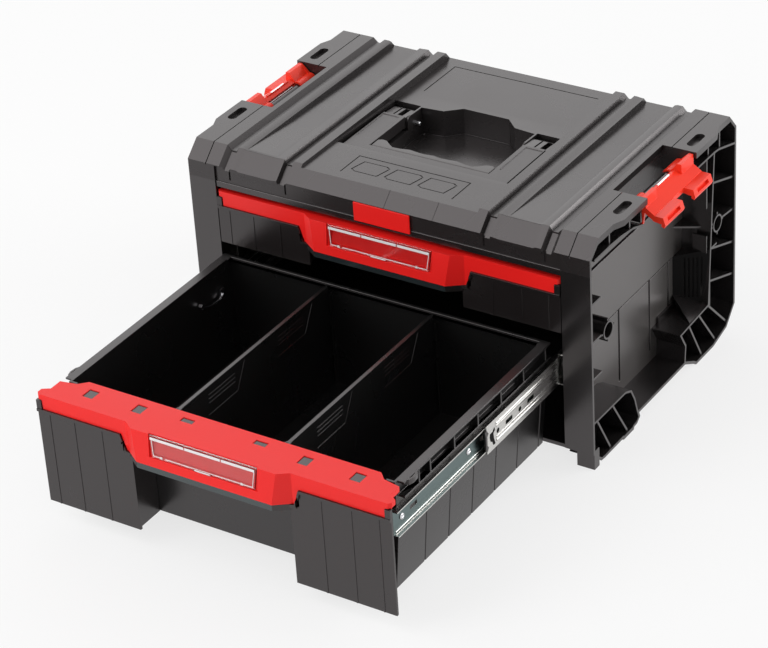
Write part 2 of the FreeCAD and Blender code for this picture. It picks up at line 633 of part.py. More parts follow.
# The carry handle, its grip insert and its two pins.
def carry_handle():
    outer = d.handle_half
    inner = d.arm_inner
    upper = handle_top
    low = upper - d.handle_thickness
    y0 = deep(d.handle_front)
    pivot = deep(d.pivot_from_front)
    r = d.knuckle_radius
    arm = block("arm", (inner, outer), (y0, deep(154)), (low, upper))
    neck = prism("neck", "x", [(deep(150), low), (pivot, pivot_z - r), (pivot, pivot_z + r),
                 (deep(150), upper - 1)], inner, outer)
    knuckle = rod("knuckle", "x", (pivot, pivot_z), r, inner, outer)
    pad = block("arm_pad", (inner + 5, outer - 1.2), (deep(100), deep(151)), (upper - 0.7, upper + 1))
    pin_room = d.handle_pin / 2 + d.pin_play
    bore = rod("handle_bore", "x", (pivot, pivot_z), pin_room, inner - 1, outer + 1)
    side = cut("handle_side", joined("arm_joined", arm, neck, knuckle), pad, bore)
    # Both knuckles have a narrow and a wide pocket in the same order, so they aren't mirrored.
    along = (pivot - 13.5, pivot + 3.5)
    spans = ((inner + 10, inner + 11.6), (outer - 7.9, outer - 1.9),
             (8.5 - outer, 10.1 - outer), (-inner - 11.4, -inner - 5.4))
    pockets = [block(f"knuckle_pocket_{i}", span, along, (pivot_z + 3, upper + 3))
               for i, span in enumerate(spans)]
    bar = block("bar", (-inner - 1, inner + 1), (y0, y0 + d.bar_depth), (low, upper))
    ledge = block("bar_ledge", (-inner - 1, inner + 1), (y0, y0 + d.bar_depth + 3), (low, low + 4))
    whole = joined("handle_solid", both("handle_sides", side), bar, ledge)
    node("carry_handle", cut("handle", whole, *pockets))


def grip_insert():
    gap = d.grip_gap
    y0 = deep(d.handle_front + d.bar_depth) + gap
    low = handle_top - d.handle_thickness + 4
    upper = handle_top - d.grip_drop
    edge = d.arm_inner - gap
    waves = [(edge, y0), (edge, deep(101.5)), (62.5, deep(104)), (57, deep(103.4)), (50.5, deep(98)),
             (45, deep(94.4)), (36, deep(95.2)), (27, deep(97.4)), (18, deep(96.2)), (9, deep(95.6)),
             (0, deep(97.2))]
    node("handle_grip_insert", prism("grip", "z", symmetric(waves), low, upper))


def handle_pins():
    pin = rod("handle_pin_bar", "x", (deep(d.pivot_from_front), pivot_z), d.handle_pin / 2,
              d.well_half - d.pin_reach, d.handle_half + d.handle_gap * 2 + d.well_wall)
    node("handle_hinge_pins", group("handle_pins", pin, mirrored("handle_pin_twin", pin)))


# The side latches: a plate with two ears and two legs, hung on a bar in the lid's pocket.
def latch():
    px = latch_x
    pz = latch_z
    y0 = latch_front + d.latch_play
    y1 = latch_rear - d.latch_play
    mid = latch_front + d.latch_length / 2
    sleeve = []
    for i, (low, high) in enumerate(((y0, mid - 26.75), (mid + 24.25, y1))):
        sleeve.append(rod(f"latch_sleeve_{i}", "y", (px, pz), d.latch_sleeve, low, high))
        ear = [(px - 1, pz + 5), (px + 9.5, pz + 15), (px + 14, pz + 15), (px + 14.5, pz + 8),
               (px + 12, pz - 8), (px + 11, pz - 14), (px + 8.5, pz - 12), (px + 6, pz - 1)]
        thin = (low, low + 3) if i == 0 else (high - 3, high)
        sleeve.append(prism(f"latch_gusset_{i}", "y", ear, *thin))
        rim = [(px + 2, pz + 5.5), (px + 9.5, pz + 15), (px + 14, pz + 15), (px + 14.5, pz + 3),
               (px + 8, pz + 2)]
        sleeve.append(prism(f"latch_ear_{i}", "y", rim, low, high))
    plate = [(px + 3, pz + 6), (px + 8, pz + 8.8), (px + 23, pz - 1), (px + 23, pz - 6), (px + 20, pz - 5.5),
             (px + 7, pz + 3.2), (px + 4.5, pz + 2)]
    plate_bar = prism("latch_plate", "y", plate, y0, y1)
    nib = block("latch_nib", (px + 6.5, px + 9), (mid - 19.75, mid + 17.25), (pz + 6, pz + 9.8))
    legs = []
    for i, (low, high) in enumerate(((y0, mid - 9.75), (mid + 12.25, y1))):
        leg = [(px + 20, pz - 1.5), (px + 32.5, pz - 1.8), (px + 35, pz - 9.5), (px + 22, pz - 7.5),
               (px + 20, pz - 5)]
        cavity = block(f"leg_cavity_{i}", (px + 31, px + 40), (low + 7, high - 7), (pz - 7.6, pz - 3.6))
        legs.append(cut(f"latch_leg_{i}", prism(f"latch_leg_solid_{i}", "y", leg, low, high), cavity))
        foot = [(px + 31, pz - 8.4), (px + 35, pz - 9.5), (px + 33.5, pz - 12.5), (px + 30.5, pz - 11)]
        legs.append(prism(f"latch_hook_{i}", "y", foot, low, high))
    solid = joined("latch_solid", *sleeve, plate_bar, nib, *legs)
    bore = rod("latch_bore", "y", (px, pz), d.latch_bar + d.latch_clearance, y0 - 1, y1 + 1)
    mouth = block("latch_mouth", (px - 12, px - 2), (y0 - 1, y1 + 1), (pz - 3, pz + 3))
    latch_body = cut("latch", solid, bore, mouth)
    node("right_latch", latch_body)
    node("left_latch", mirrored("latch_twin", latch_body))
    bar = rod("latch_bar_rod", "y", (px, pz), d.latch_bar, latch_front, latch_rear)
    node("right_latch_bar", bar)
    node("left_latch_bar", mirrored("latch_bar_twin", bar))


# A drawer's box with its runner channel, cells under the rim and divider seats.
def drawer_box(name, bottom, cap_top, seats):
    rim_top = cap_top - d.rim_drop
    ledge = cap_top - d.rim_channel
    outer = box_half
    foot = outer - d.box_taper
    t = d.box_wall
    y0 = deep(d.box_front)
    y1 = box_back
    knee = bottom + 58 if seats else ledge - 18
    section = symmetric([(foot, bottom), (outer, knee), (outer, rim_top)])
    body = prism(name + "_body", "y", section, y0, y1)
    inner_half = outer - t
    inner = symmetric([(foot - t - 5, bottom + d.box_floor), (foot - t, bottom + d.box_floor + 5),
                       (inner_half, knee), (inner_half, rim_top + 1)])
    hollow = prism(name + "_hollow", "y", inner, y0 + t, y1 - t - 1.2)
    flange = block(name + "_flange", (outer - 1, rim_half), (y0 + 4, y1), (rim_top - 2, rim_top))
    shelf = block(name + "_shelf", (outer - 1, rim_half), (y0 + 4, y1), (ledge - 2, ledge))
    cells = [flange, shelf]
    # The cells' ribs stand over the grooves between the side's panels.
    panel_ends = [y1 - d.rim_start - d.rim_pitch * i for i in range(6)]
    sink = d.side_groove_sink
    grooves = []
    for i, at in enumerate(panel_ends + [y0 + d.rim_front]):
        cells.append(block(f"{name}_cell_{i}", (outer - 1, rim_half - 0.4), (at, at + 2.2), (ledge, rim_top)))
    for i, at in enumerate(panel_ends):
        line = [(foot - sink, bottom - 1), (outer - sink, knee), (outer - sink, ledge - 3),
                (outer + 1, ledge - 3), (outer + 1, bottom - 1)]
        grooves.append(prism(f"{name}_groove_{i}", "y", line, at, at + d.side_groove))
    rear_flange = block(name + "_rear_flange", (-outer, outer), (y1 - 9, y1), (rim_top - 2, rim_top))
    rims = both(name + "_rims", joined(name + "_rim", *cells))
    lines = both(name + "_grooves", joined(name + "_groove_row", *grooves))
    shell = cut(name + "_shell", joined(name + "_outer", body, rims), hollow, lines)
    clear = block(name + "_rear_clear", (-inner_half + 1, inner_half - 1), (y1 - 12, y1 - t - 1.4),
                  (rim_top - 5, rim_top + 1))
    parts = [shell, cut(name + "_rear_rim", rear_flange, clear)]
    shelf_cut = block(name + "_cap_seat", (-rim_half + 16.5, rim_half - 16.5),
                      (y0 - 1, deep(d.cap_depth + 0.4)), (cap_top - 5.8, cap_top + 1))
    if seats:
        gap = d.divider_thickness / 2 + d.divider_gap
        for side in (-1, 1):
            for edge in (-1, 1):
                near = d.divider_at * side + gap * edge
                low, high = (near, near + 2.2) if edge > 0 else (near - 2.2, near)
                parts.append(block(f"{name}_seat_f{side}{edge}", (low, high), (y0 + t - 0.3, y0 + t + 3.6),
                                   (bottom + d.box_floor - 0.5, rim_top - 9)))
                parts.append(block(f"{name}_seat_r{side}{edge}", (low, high), (y1 - t - 4.8, y1 - t - 0.9),
                                   (bottom + d.box_floor - 0.5, rim_top - 9)))
    return cut(name + "_seated", joined(name + "_all", *parts), shelf_cut)


def cap_plan(shrink, front_shrink):
    """The red cap's outline from above, drawn in by a wall."""
    s = shrink
    f = front_shrink
    edge = drawer_half
    reach = d.bulge_reach + d.bulge_lean
    return [(0, f - reach), (d.bulge_half - s * 0.6, f - reach), (d.bulge_foot + 3 - s * 0.6, f),
            (edge - 2.5 - s, f), (edge - s, 3 + f), (edge - s, 8.5), (rim_half - s, 13),
            (rim_half - s, 27 - s), (168 - s, 30.4 - s), (160 - s, d.cap_depth - s), (0, d.cap_depth - s)]


def bulge_face(cap_top, height):
    """Where the bulge's leaning front face stands at a height."""
    return front - d.bulge_reach - d.bulge_lean * (cap_top - height) / d.bulge_height


def leaning(name, cap_top, heights, depths, reach):
    """A slab that leans as the bulge does, between two heights and two depths behind its face."""
    low, high = heights
    near, far = depths
    outline = [(bulge_face(cap_top, low) + near, low), (bulge_face(cap_top, high) + near, high),
               (bulge_face(cap_top, high) + far, high), (bulge_face(cap_top, low) + far, low)]
    return prism(name, "x", outline, -reach, reach)


def drawer_cap(name, cap_top):
    """The red cap: a shelf over the front of the box that swells into the pull in the middle."""
    t = d.cap_wall
    low = cap_top - d.bulge_height
    edge = drawer_half
    plans = []
    for i, (s, f) in enumerate(((0, 0), (t, t))):
        outline = symmetric([(x, front + y) for x, y in cap_plan(s, f)])
        plan = prism(f"{name}_plan_{i}", "z", outline, low - 5, cap_top - (t if i else 0))
        face = front - d.bulge_reach + f
        slope = [(face, cap_top), (face - d.bulge_lean, low), (face - d.bulge_lean, low - 10),
                 (deep(60), low - 10), (deep(60), cap_top)]
        lean = prism(f"{name}_lean_{i}", "x", slope, -edge - 1, edge + 1)
        plans.append(shared(f"{name}_form_{i}", plan, lean))
    lip = cap_top - d.cap_front
    face = symmetric([(74, low), (88.5, cap_top - d.bulge_height + 0.5), (91.5, cap_top - 32), (97, lip),
                      (edge - 6.5, lip), (edge - 6, cap_top - 6), (edge, cap_top - 5), (edge, cap_top)])
    drawn = shared(name + "_drawn", plans[0], prism(name + "_face", "y", face, front - 20, deep(60)))
    skirt_back = block(name + "_skirt_back", (-edge - 1, edge + 1), (deep(12), deep(60)),
                       (low - 10, cap_top - 5.5))
    holes = []
    openings = ((40, 13.5, 23.8, 30.3), (90.8, 11, 16, 28.8), (146, 11.5, 16, 28.8))
    for i, (at, wide, y_low, y_high) in enumerate(openings):
        holes.append(block(f"{name}_hole_{i}", (at - wide / 2, at + wide / 2), (deep(y_low), deep(y_high)),
                           (cap_top - 8, cap_top + 1)))
    seat_low = cap_top - d.window_height - 2.2
    pane = leaning(name + "_pane_seat", cap_top, (seat_low, cap_top + 1),
                   (-3, d.window_thickness + 0.4), d.window_half + 0.8)
    recess = leaning(name + "_pane_recess", cap_top, (seat_low + 3.2, cap_top - 4),
                     (-3, d.window_thickness + 2), d.window_half - 3)
    backing = leaning(name + "_pane_back", cap_top, (seat_low - 2.8, cap_top - 0.5),
                      (0.5, d.window_thickness + 4.4), d.window_half + 3)
    shell = joined(name + "_backed", cut(name + "_thin", drawn, plans[1]), backing)
    return cut(name + "_cap", shell, skirt_back, both(name + "_holes", joined(name + "_hole_row", *holes)),
               pane, recess)


def drawer_front(name, bottom, cap_top):
    """The grey moulding below the cap: two panels, the shelf that carries the cap and the pull's edge."""
    t = d.front_wall
    lip = cap_top - d.cap_front
    edge = drawer_half
    y_back = deep(d.box_front) - 0.3
    low = cap_top - d.bulge_height
    inner = d.finger_half
    panel = [(inner, bottom), (edge, bottom), (edge, cap_top - 6.2), (edge - 5.8, cap_top - 6.4),
             (edge - 6.2, lip - 0.1), (97.4, lip - 0.1), (92, cap_top - 32.2), (inner, low)]
    rail = [(97.4, lip - 0.1), (edge, lip - 0.1), (edge, lip - d.lip_height), (98.4, lip - d.lip_height),
            (94.4, cap_top - 35.6), (inner, low - d.lip_height), (inner, low), (92, cap_top - 32.2)]
    pieces = [
        prism(name + "_panel", "y", panel, front, deep(t)),
        prism(name + "_lip", "y", rail, front - d.lip_reach, deep(1)),
        block(name + "_end_lip", (edge - 5.6, edge), (front - 1.2, deep(1)),
              (lip - d.lip_height, cap_top - 6.4)),
        block(name + "_inner_return", (inner, inner + t), (front, y_back), (bottom + 3, low)),
        block(name + "_outer_return", (box_half - 9, box_half - 9 + t), (deep(1), y_back),
              (bottom + 3, lip - 0.1)),
        block(name + "_bottom_return", (inner, box_half - 7), (deep(1), y_back),
              (bottom + 3, bottom + 3 + t)),
    ]
    for i, at in enumerate((120, 151.5, 180)):
        pieces.append(block(f"{name}_flute_{i}", (at - 0.7, at + 0.7), (front - 0.5, deep(1)),
                            (bottom, lip - d.lip_height)))
    slot = block(name + "_slot", (93.6, 96.6), (front - 3, deep(t + 1)), (cap_top - 34, cap_top - 23))
    side = cut(name + "_half", joined(name + "_half_solid", *pieces), slot)
    shelf_low = cap_top - 8
    shelf = block(name + "_top_shelf", (-box_half + 9, box_half - 9), (deep(t + 0.4), y_back),
                  (shelf_low, cap_top - 5.8))
    posts = [block(f"{name}_shelf_post_{i}", (at, at + t), (deep(t + 0.4), y_back), (low - 2, shelf_low + 1))
             for i, at in enumerate((inner, box_half - 9 - t))]
    tabs = []
    places = ((40, 12.7, 24.2, 29.9), (90.8, 10.2, 16.4, 28.4), (146, 10.7, 16.4, 28.4))
    for i, (at, wide, y_low, y_high) in enumerate(places):
        tabs.append(block(f"{name}_tab_{i}", (at - wide / 2, at + wide / 2), (deep(y_low), deep(y_high)),
                          (shelf_low + 1, cap_top - 0.8)))
    reach = d.bulge_reach + d.bulge_lean - 0.4
    plan = [(0, -reach), (d.bulge_half, -reach), (d.bulge_foot + 2, 0), (d.bulge_foot + 2, 6), (0, 6)]
    outline = symmetric([(x, front + y) for x, y in plan])
    edge_bar = prism(name + "_pull_edge", "z", outline, low - d.lip_height - 3.4, low - 0.1)
    groove = block(name + "_pull_groove", (-d.bulge_half + 2, d.bulge_half - 2),
                   (front - reach + 2.4, deep(3.6)), (low - 20, low + 1))
    strut = block(name + "_pull_web", (-inner - 1, inner + 1), (deep(20), y_back), (low - 4, low - 1.5))
    sides = both(name + "_sides", joined(name + "_side_all", side, *posts))
    tab_pair = both(name + "_tabs", joined(name + "_tab_row", *tabs))
    return joined(name + "_moulding", sides, shelf, tab_pair, cut(name + "_edge", edge_bar, groove), strut)


def label_window(name, cap_top):
    """The clear flap over the label, with its hinge rod along the top and a pull at the bottom."""
    upper = cap_top - 1.6
    low = upper - d.window_height + 0.4
    t = d.window_thickness
    reach = d.window_half - d.window_play
    slab = leaning(name + "_slab", cap_top, (low, upper), (0.2, 0.2 + t), reach)
    sloped = [(reach - 2.2, low), (reach, upper), (-reach, upper), (2.2 - reach, low)]
    taper = prism(name + "_taper", "y", sloped, front - 30, front + 10)
    pane = shared(name + "_pane", slab, taper)
    at = bulge_face(cap_top, upper) + 0.2 + t / 2
    bar = rod(name + "_rod", "x", (at, upper), t / 2 + 0.1, -reach, reach)
    head = leaning(name + "_head", cap_top, (upper - 3.4, upper - 0.4), (-0.5, 1), reach - 1.2)
    pull = leaning(name + "_pull", cap_top, (low, low + 1.4), (-0.9, 0.6), 10)
    return joined(name + "_flap", pane, bar, head, pull)


def divider():
    """A flat divider with a bead along its top and shallow lines on both faces."""
    t = d.divider_thickness / 2
    low = floor_top + d.box_clearance + d.box_floor + 0.3
    high = lower_top - 1.5
    y0 = deep(d.box_front + d.box_wall) + 0.4
    y1 = box_back - d.box_wall - 1.6
    at = d.divider_at
    step_y = deep(d.cap_depth) + 0.8
    step_z = lower_top - 6.2
    body = prism("divider_body", "x", [(y0, low), (y1, low), (y1, high), (step_y, high), (step_y, step_z),
                 (y0, step_z)], at - t, at + t)
    bead = block("divider_bead", (at - t - 0.9, at + t + 0.9), (step_y, y1 - 5.5), (high - 3.5, high))
    ends = [rod(f"divider_end_{i}", "z", (at, y), 2.6, high - 5, high)
            for i, y in enumerate((step_y + 2.7, y1 - 6.5))]
    marks = []
    for k, start in enumerate((85.1, 199.9)):
        for i, drop in enumerate((12, 16.3, 20.6)):
            height = lower_top - drop
            marks.append(block(f"divider_line_{k}{i}", (at - t - 0.4, at + t + 0.4),
                               (deep(start), deep(start + 42)), (height - 0.6, height + 0.6)))
        line = [(deep(start - 1.5), lower_top - 32.6), (deep(start + 44.8), lower_top - 32.2),
                (deep(start + 59.6), lower_top - 6)]
        marks.append(strip(f"divider_bracket_{k}", "x", line, 1.1, at - t - 0.4, at + t + 0.4))
    return joined("divider", body, bead, *ends, *marks)


def wire_clip():
    """The bent wire on the drawer's side wall that takes the end of a label cord or a divider."""
    x = -box_half + d.box_wall + 2.4
    bends = [(61, 27), (48, 33), (32, 34.5), (25, 31)]
    route = [(box_back - inset, lower_top - drop) for inset, drop in bends]
    bow = strip("clip_bow", "x", route, 1.8, x, x + 1.8)
    eye = rod("clip_eye", "x", route[0], 3, x - 1.4, x + 2.4)
    seat = block("clip_seat", (x - 2.2, x + 0.4), (box_back - 28, box_back - 22),
                 (lower_top - 36, lower_top - 25))
    return joined("clip", bow, eye, seat)


# A three-part ball runner, drawn for the right-hand side.
def runner(name, height, label, pulled):
    """Cabinet rail, middle member and drawer member, one inside the other."""
    t = d.runner_sheet
    outer = wall_inner
    play = d.runner_play
    tall = d.runner_height / 2
    y0, y1 = deep(d.runner_front), back - d.runner_rear_gap
    y2 = deep(d.member_front)

    def channel(tag, web, lip, reach, low, high, holes):
        """A folded channel: web at one X, flanges reaching to lip."""
        if web.value > lip.value:
            outline = [(web, height - reach), (web, height + reach), (lip, height + reach),
                       (lip, height + reach - t), (web - t, height + reach - t),
                       (web - t, height - reach + t), (lip, height - reach + t), (lip, height - reach)]
            bore = (web - t - 1, web + 1)
        else:
            outline = [(web, height - reach), (lip, height - reach), (lip, height - reach + t),
                       (web + t, height - reach + t), (web + t, height + reach - t),
                       (lip, height + reach - t), (lip, height + reach), (web, height + reach)]
            bore = (web - 1, web + t + 1)
        solid = prism(f"{name}_{tag}", "y", outline, low, high)
        drills = []
        for i, at in enumerate(holes):
            drills.append(rod(f"{name}_{tag}_hole_{i}", "x", (low + at, height), 2.6, *bore))
            drills.append(block(f"{name}_{tag}_slot_{i}", bore, (low + at + 14, low + at + 26),
                                (height - 2.2, height + 2.2)))
        return cut(f"{name}_{tag}_drilled", solid, *drills)

    rail = channel("rail", outer, outer - 6.4, tall, y0, y1, (12, 120, 225))
    middle_reach = tall - t - play
    middle = channel("middle", outer - 4.2, outer - 9.4, middle_reach, y2, y1 - 4, (20, 60, 200))
    inner_reach = middle_reach - t - play
    member = channel("member", box_half + 0.2, box_half + 6.6, inner_reach, y2, y1 - 1, (14, 128, 226))
    members = (("cabinet_rail", rail, 0), ("middle_rail", middle, 0.5), ("drawer_rail", member, 1))
    for suffix, thing, share in members:
        node(f"{label}_right_{suffix}", thing, pulled * share)
        node(f"{label}_left_{suffix}", mirrored(f"{name}_{suffix}_twin", thing))


def drawer(label, bottom, cap_top, box_bottom, seats, pulled):
    node(f"{label}_drawer_box", drawer_box(label + "_box", box_bottom, cap_top, seats), pulled)
    node(f"{label}_drawer_front", drawer_front(label + "_front", bottom, cap_top), pulled)
    node(f"{label}_drawer_cap", drawer_cap(label + "_cap", cap_top), pulled)
    node(f"{label}_label_window", label_window(label + "_window", cap_top), pulled)


cabinet_shell()
side_frame()
top_cover()
badge_plate()
carry_handle()
grip_insert()
handle_pins()
latch()
drawer("lower", d.floor_underside + d.lower_drop, lower_top, floor_top + d.box_clearance, True, 1)
right_divider = node("right_divider", divider(), 1)
node("left_divider", mirrored("divider_twin", right_divider))
node("divider_clip", wire_clip(), 1)
runner("lower_runner_set", lower_top - d.lower_runner_drop, "lower", 1)
drawer("upper", upper_bottom, upper_cap_top, upper_bottom + d.upper_box_lift, False, 0)
runner("upper_runner_set", upper_cap_top - d.upper_runner_drop, "upper", 0)

doc.recompute()

faults = [f"{thing.Name}: {thing.State}" for thing in doc.Objects
          if "Invalid" in thing.State or "Error" in thing.State]
for sub_part in NODES:
    if sub_part.Shape.isNull() or not sub_part.Shape.isValid():
        faults.append(f"{sub_part.Label}: shape is null or not valid")
if faults:
    raise SystemExit("\n".join(faults))

os.makedirs("parts", exist_ok=True)
for sub_part in NODES:
    sub_part.Shape.exportStep(f"parts/{sub_part.Label}.step")
    box = sub_part.Shape.BoundBox
    print(f"{sub_part.Label}: {len(sub_part.Shape.Solids)} solids, x {box.XMin:.1f} to {box.XMax:.1f}, "
          f"y {box.YMin:.1f} to {box.YMax:.1f}, z {box.ZMin:.1f} to {box.ZMax:.1f}")
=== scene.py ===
"""Stackable two-drawer tool box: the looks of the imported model.

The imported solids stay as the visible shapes. Each one gets softened edges and a finish built from
shader nodes, and the small parts that the solids leave out are modelled here as meshes of their own.
Sizes of the small parts are in millimetres, as in the solids' own source, and those of the studio in
metres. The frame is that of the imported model: origin under the closed case's middle, front towards
-Y, Z up.
"""
from __future__ import annotations

import logging
import math
from dataclasses import dataclass, field
from enum import Enum
from typing import Callable, Sequence

import bmesh
import bpy
from mathutils import Matrix, Vector

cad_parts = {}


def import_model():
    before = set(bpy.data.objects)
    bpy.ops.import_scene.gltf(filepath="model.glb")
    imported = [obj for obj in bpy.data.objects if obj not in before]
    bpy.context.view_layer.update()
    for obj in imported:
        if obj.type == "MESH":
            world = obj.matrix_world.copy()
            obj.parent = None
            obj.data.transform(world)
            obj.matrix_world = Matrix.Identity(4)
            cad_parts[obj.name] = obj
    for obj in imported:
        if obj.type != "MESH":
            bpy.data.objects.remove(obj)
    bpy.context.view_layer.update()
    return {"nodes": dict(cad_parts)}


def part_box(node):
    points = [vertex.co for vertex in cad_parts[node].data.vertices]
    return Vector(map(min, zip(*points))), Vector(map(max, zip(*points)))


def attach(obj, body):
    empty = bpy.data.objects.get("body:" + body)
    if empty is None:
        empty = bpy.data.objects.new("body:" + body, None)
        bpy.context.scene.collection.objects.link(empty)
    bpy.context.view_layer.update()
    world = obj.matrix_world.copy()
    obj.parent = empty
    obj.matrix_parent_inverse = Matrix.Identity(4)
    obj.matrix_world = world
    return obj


LOG = logging.getLogger("tool_box")
MM = 0.001
Colour = tuple[float, float, float]
Flat = tuple[float, float]
Spot = tuple[float, float, float]

LEVELS = ("lower", "upper")
ROUND_SEGMENTS = 2
ROUND_ANGLE = math.radians(28)
WELD_REACH = 0.01 * MM
FLAT_ANGLE = math.radians(0.5)
SAME_WAY = 0.98


class Axis(Enum):
    """The frame's axes, for pieces that run along one of them."""

    X = 0
    Y = 1
    Z = 2


class Side(Enum):
    """Left or right half of the box, as the sign of X."""

    LEFT = -1
    RIGHT = 1

    @property
    def word(self) -> str:
        """The side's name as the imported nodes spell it."""
        return self.name.lower()

    def span(self, inner: float, outer: float) -> Flat:
        """Returns the X range between two distances from the middle, lowest first."""
        low, high = sorted((self.value * inner, self.value * outer))
        return low, high


@dataclass
class Graph:
    """A node tree that is filled by naming each node's kind, settings and inputs."""

    tree: bpy.types.NodeTree

    def add(self, kind: str, inputs: dict | None = None, **settings: object) -> bpy.types.Node:
        """Adds a node.

        Args:
            kind: Blender's name of the node type.
            inputs: Value or output socket for each input, by name or number.
            settings: Attributes to set on the node first.

        Returns:
            The new node.
        """
        node = self.tree.nodes.new(kind)
        for name, value in settings.items():
            setattr(node, name, value)
        for key, value in (inputs or {}).items():
            socket = node.inputs[key]
            if isinstance(value, bpy.types.NodeSocket):
                self.tree.links.new(value, socket)
            else:
                socket.default_value = value
        return node

    def maths(self, operation: str, first: object, second: object = 0.0) -> bpy.types.NodeSocket:
        """Returns the result of one arithmetic step on two values or sockets."""
        return self.add("ShaderNodeMath", {0: first, 1: second}, operation=operation).outputs[0]

    def centred(self, value: object) -> bpy.types.NodeSocket:
        """Returns a 0 to 1 value shifted to run about nought."""
        return self.maths("SUBTRACT", value, 0.5)

    def spread(self, value: object, low: float, high: float) -> bpy.types.NodeSocket:
        """Returns a 0 to 1 value stretched to run from low to high."""
        inputs = {"Value": value, "To Min": low, "To Max": high}
        return self.add("ShaderNodeMapRange", inputs).outputs["Result"]


    def feed(self, shader: bpy.types.Node, look: bpy.types.Node, bump: bpy.types.Node | None = None) -> None:
        """Links a group's colour and roughness, and a bump if there is one, to a shader."""
        self.tree.links.new(look.outputs["Color"], shader.inputs["Base Color"])
        self.tree.links.new(look.outputs["Roughness"], shader.inputs["Roughness"])
        if bump:
            self.tree.links.new(bump.outputs["Normal"], shader.inputs["Normal"])

    def seen_rays(self) -> bpy.types.NodeSocket:
        """Returns 1 for rays of the camera, of reflections and through glass, and 0 for light."""
        path = self.add("ShaderNodeLightPath").outputs
        seen = self.maths("MAXIMUM", path["Is Camera Ray"], path["Is Transmission Ray"])
        return self.maths("MAXIMUM", seen, path["Is Glossy Ray"])


def start_group(name: str, inputs: dict[str, tuple[str, object]], outputs: dict[str, str]) -> Graph:
    """Starts a shader node group with named inputs and outputs.

    Args:
        name: The group's name.
        inputs: Socket type and default for each input.
        outputs: Socket type of each output.

    Returns:
        A graph on the group's tree.
    """
    tree = bpy.data.node_groups.new(name, "ShaderNodeTree")
    for label, (kind, default) in inputs.items():
        socket = tree.interface.new_socket(name=label, in_out="INPUT", socket_type=kind)
        socket.default_value = default
    for label, kind in outputs.items():
        tree.interface.new_socket(name=label, in_out="OUTPUT", socket_type=kind)
    return Graph(tree)


def moulded_grain() -> bpy.types.NodeTree:
    """Builds the grain of a spark-eroded mould with slow changes of tone across the wall.

    Returns:
        The node group, with outputs Color, Roughness and Height.
    """
    graph = start_group(
        "moulded_grain",
        {
            "Color": ("NodeSocketColor", (0.1, 0.1, 0.1, 1.0)),
            "Tone": ("NodeSocketFloat", 0.1),
            "Roughness": ("NodeSocketFloat", 0.45),
            "Roughness Spread": ("NodeSocketFloat", 0.05),
            "Grain Scale": ("NodeSocketFloat", 1400.0),
            "Flow Scale": ("NodeSocketFloat", 14.0),
        },
        {"Color": "NodeSocketColor", "Roughness": "NodeSocketFloat", "Height": "NodeSocketFloat"},
    )
    given = graph.add("NodeGroupInput")
    place = graph.add("ShaderNodeTexCoord").outputs["Object"]
    scale = given.outputs["Grain Scale"]
    fine = graph.add("ShaderNodeTexNoise", {"Vector": place, "Scale": scale, "Detail": 3.0}).outputs["Fac"]
    pits = graph.add("ShaderNodeTexVoronoi", {"Vector": place, "Scale": scale}).outputs["Distance"]
    scale = given.outputs["Flow Scale"]
    flow = graph.add("ShaderNodeTexNoise", {"Vector": place, "Scale": scale, "Detail": 4.0}).outputs["Fac"]
    height = graph.maths("ADD", fine, graph.maths("MULTIPLY", pits, 0.6))
    shift = graph.maths("MULTIPLY", graph.centred(flow), given.outputs["Tone"])
    speck = graph.maths("MULTIPLY", graph.centred(fine), 0.10)
    level = graph.maths("ADD", graph.maths("ADD", shift, speck), 1.0)
    tint = graph.add("ShaderNodeHueSaturation", {"Value": level, "Color": given.outputs["Color"]})
    rough = graph.maths("MULTIPLY", graph.centred(flow), given.outputs["Roughness Spread"])
    total = graph.maths("ADD", graph.maths("MULTIPLY", rough, 2.0), given.outputs["Roughness"])
    graph.add("NodeGroupOutput", {"Color": tint.outputs["Color"], "Roughness": total, "Height": height})
    return graph.tree


def rolled_metal() -> bpy.types.NodeTree:
    """Builds the faint lengthwise streaks and spangle of zinc-plated sheet.

    Returns:
        The node group, with outputs Color, Roughness and Height.
    """
    graph = start_group(
        "rolled_metal",
        {
            "Color": ("NodeSocketColor", (0.6, 0.6, 0.6, 1.0)),
            "Streak": ("NodeSocketFloat", 0.25),
            "Roughness": ("NodeSocketFloat", 0.28),
        },
        {"Color": "NodeSocketColor", "Roughness": "NodeSocketFloat", "Height": "NodeSocketFloat"},
    )
    given = graph.add("NodeGroupInput")
    place = graph.add("ShaderNodeTexCoord").outputs["Object"]
    long = graph.add("ShaderNodeMapping", {"Vector": place, "Scale": (900.0, 14.0, 900.0)})
    streak = graph.add("ShaderNodeTexNoise", {"Vector": long.outputs[0], "Scale": 1.0, "Detail": 3.0})
    spangle = graph.add("ShaderNodeTexVoronoi", {"Vector": place, "Scale": 260.0})
    flakes = graph.maths("MULTIPLY", spangle.outputs["Distance"], 0.12)
    mix = graph.maths("ADD", streak.outputs["Fac"], flakes)
    centred = graph.maths("SUBTRACT", mix, 0.55)
    level = graph.maths("ADD", graph.maths("MULTIPLY", centred, given.outputs["Streak"]), 1.0)
    tint = graph.add("ShaderNodeHueSaturation", {"Value": level, "Color": given.outputs["Color"]})
    rough = graph.maths("ADD", graph.maths("MULTIPLY", centred, 0.1), given.outputs["Roughness"])
    given_back = {"Color": tint.outputs["Color"], "Roughness": rough, "Height": streak.outputs["Fac"]}
    graph.add("NodeGroupOutput", given_back)
    return graph.tree


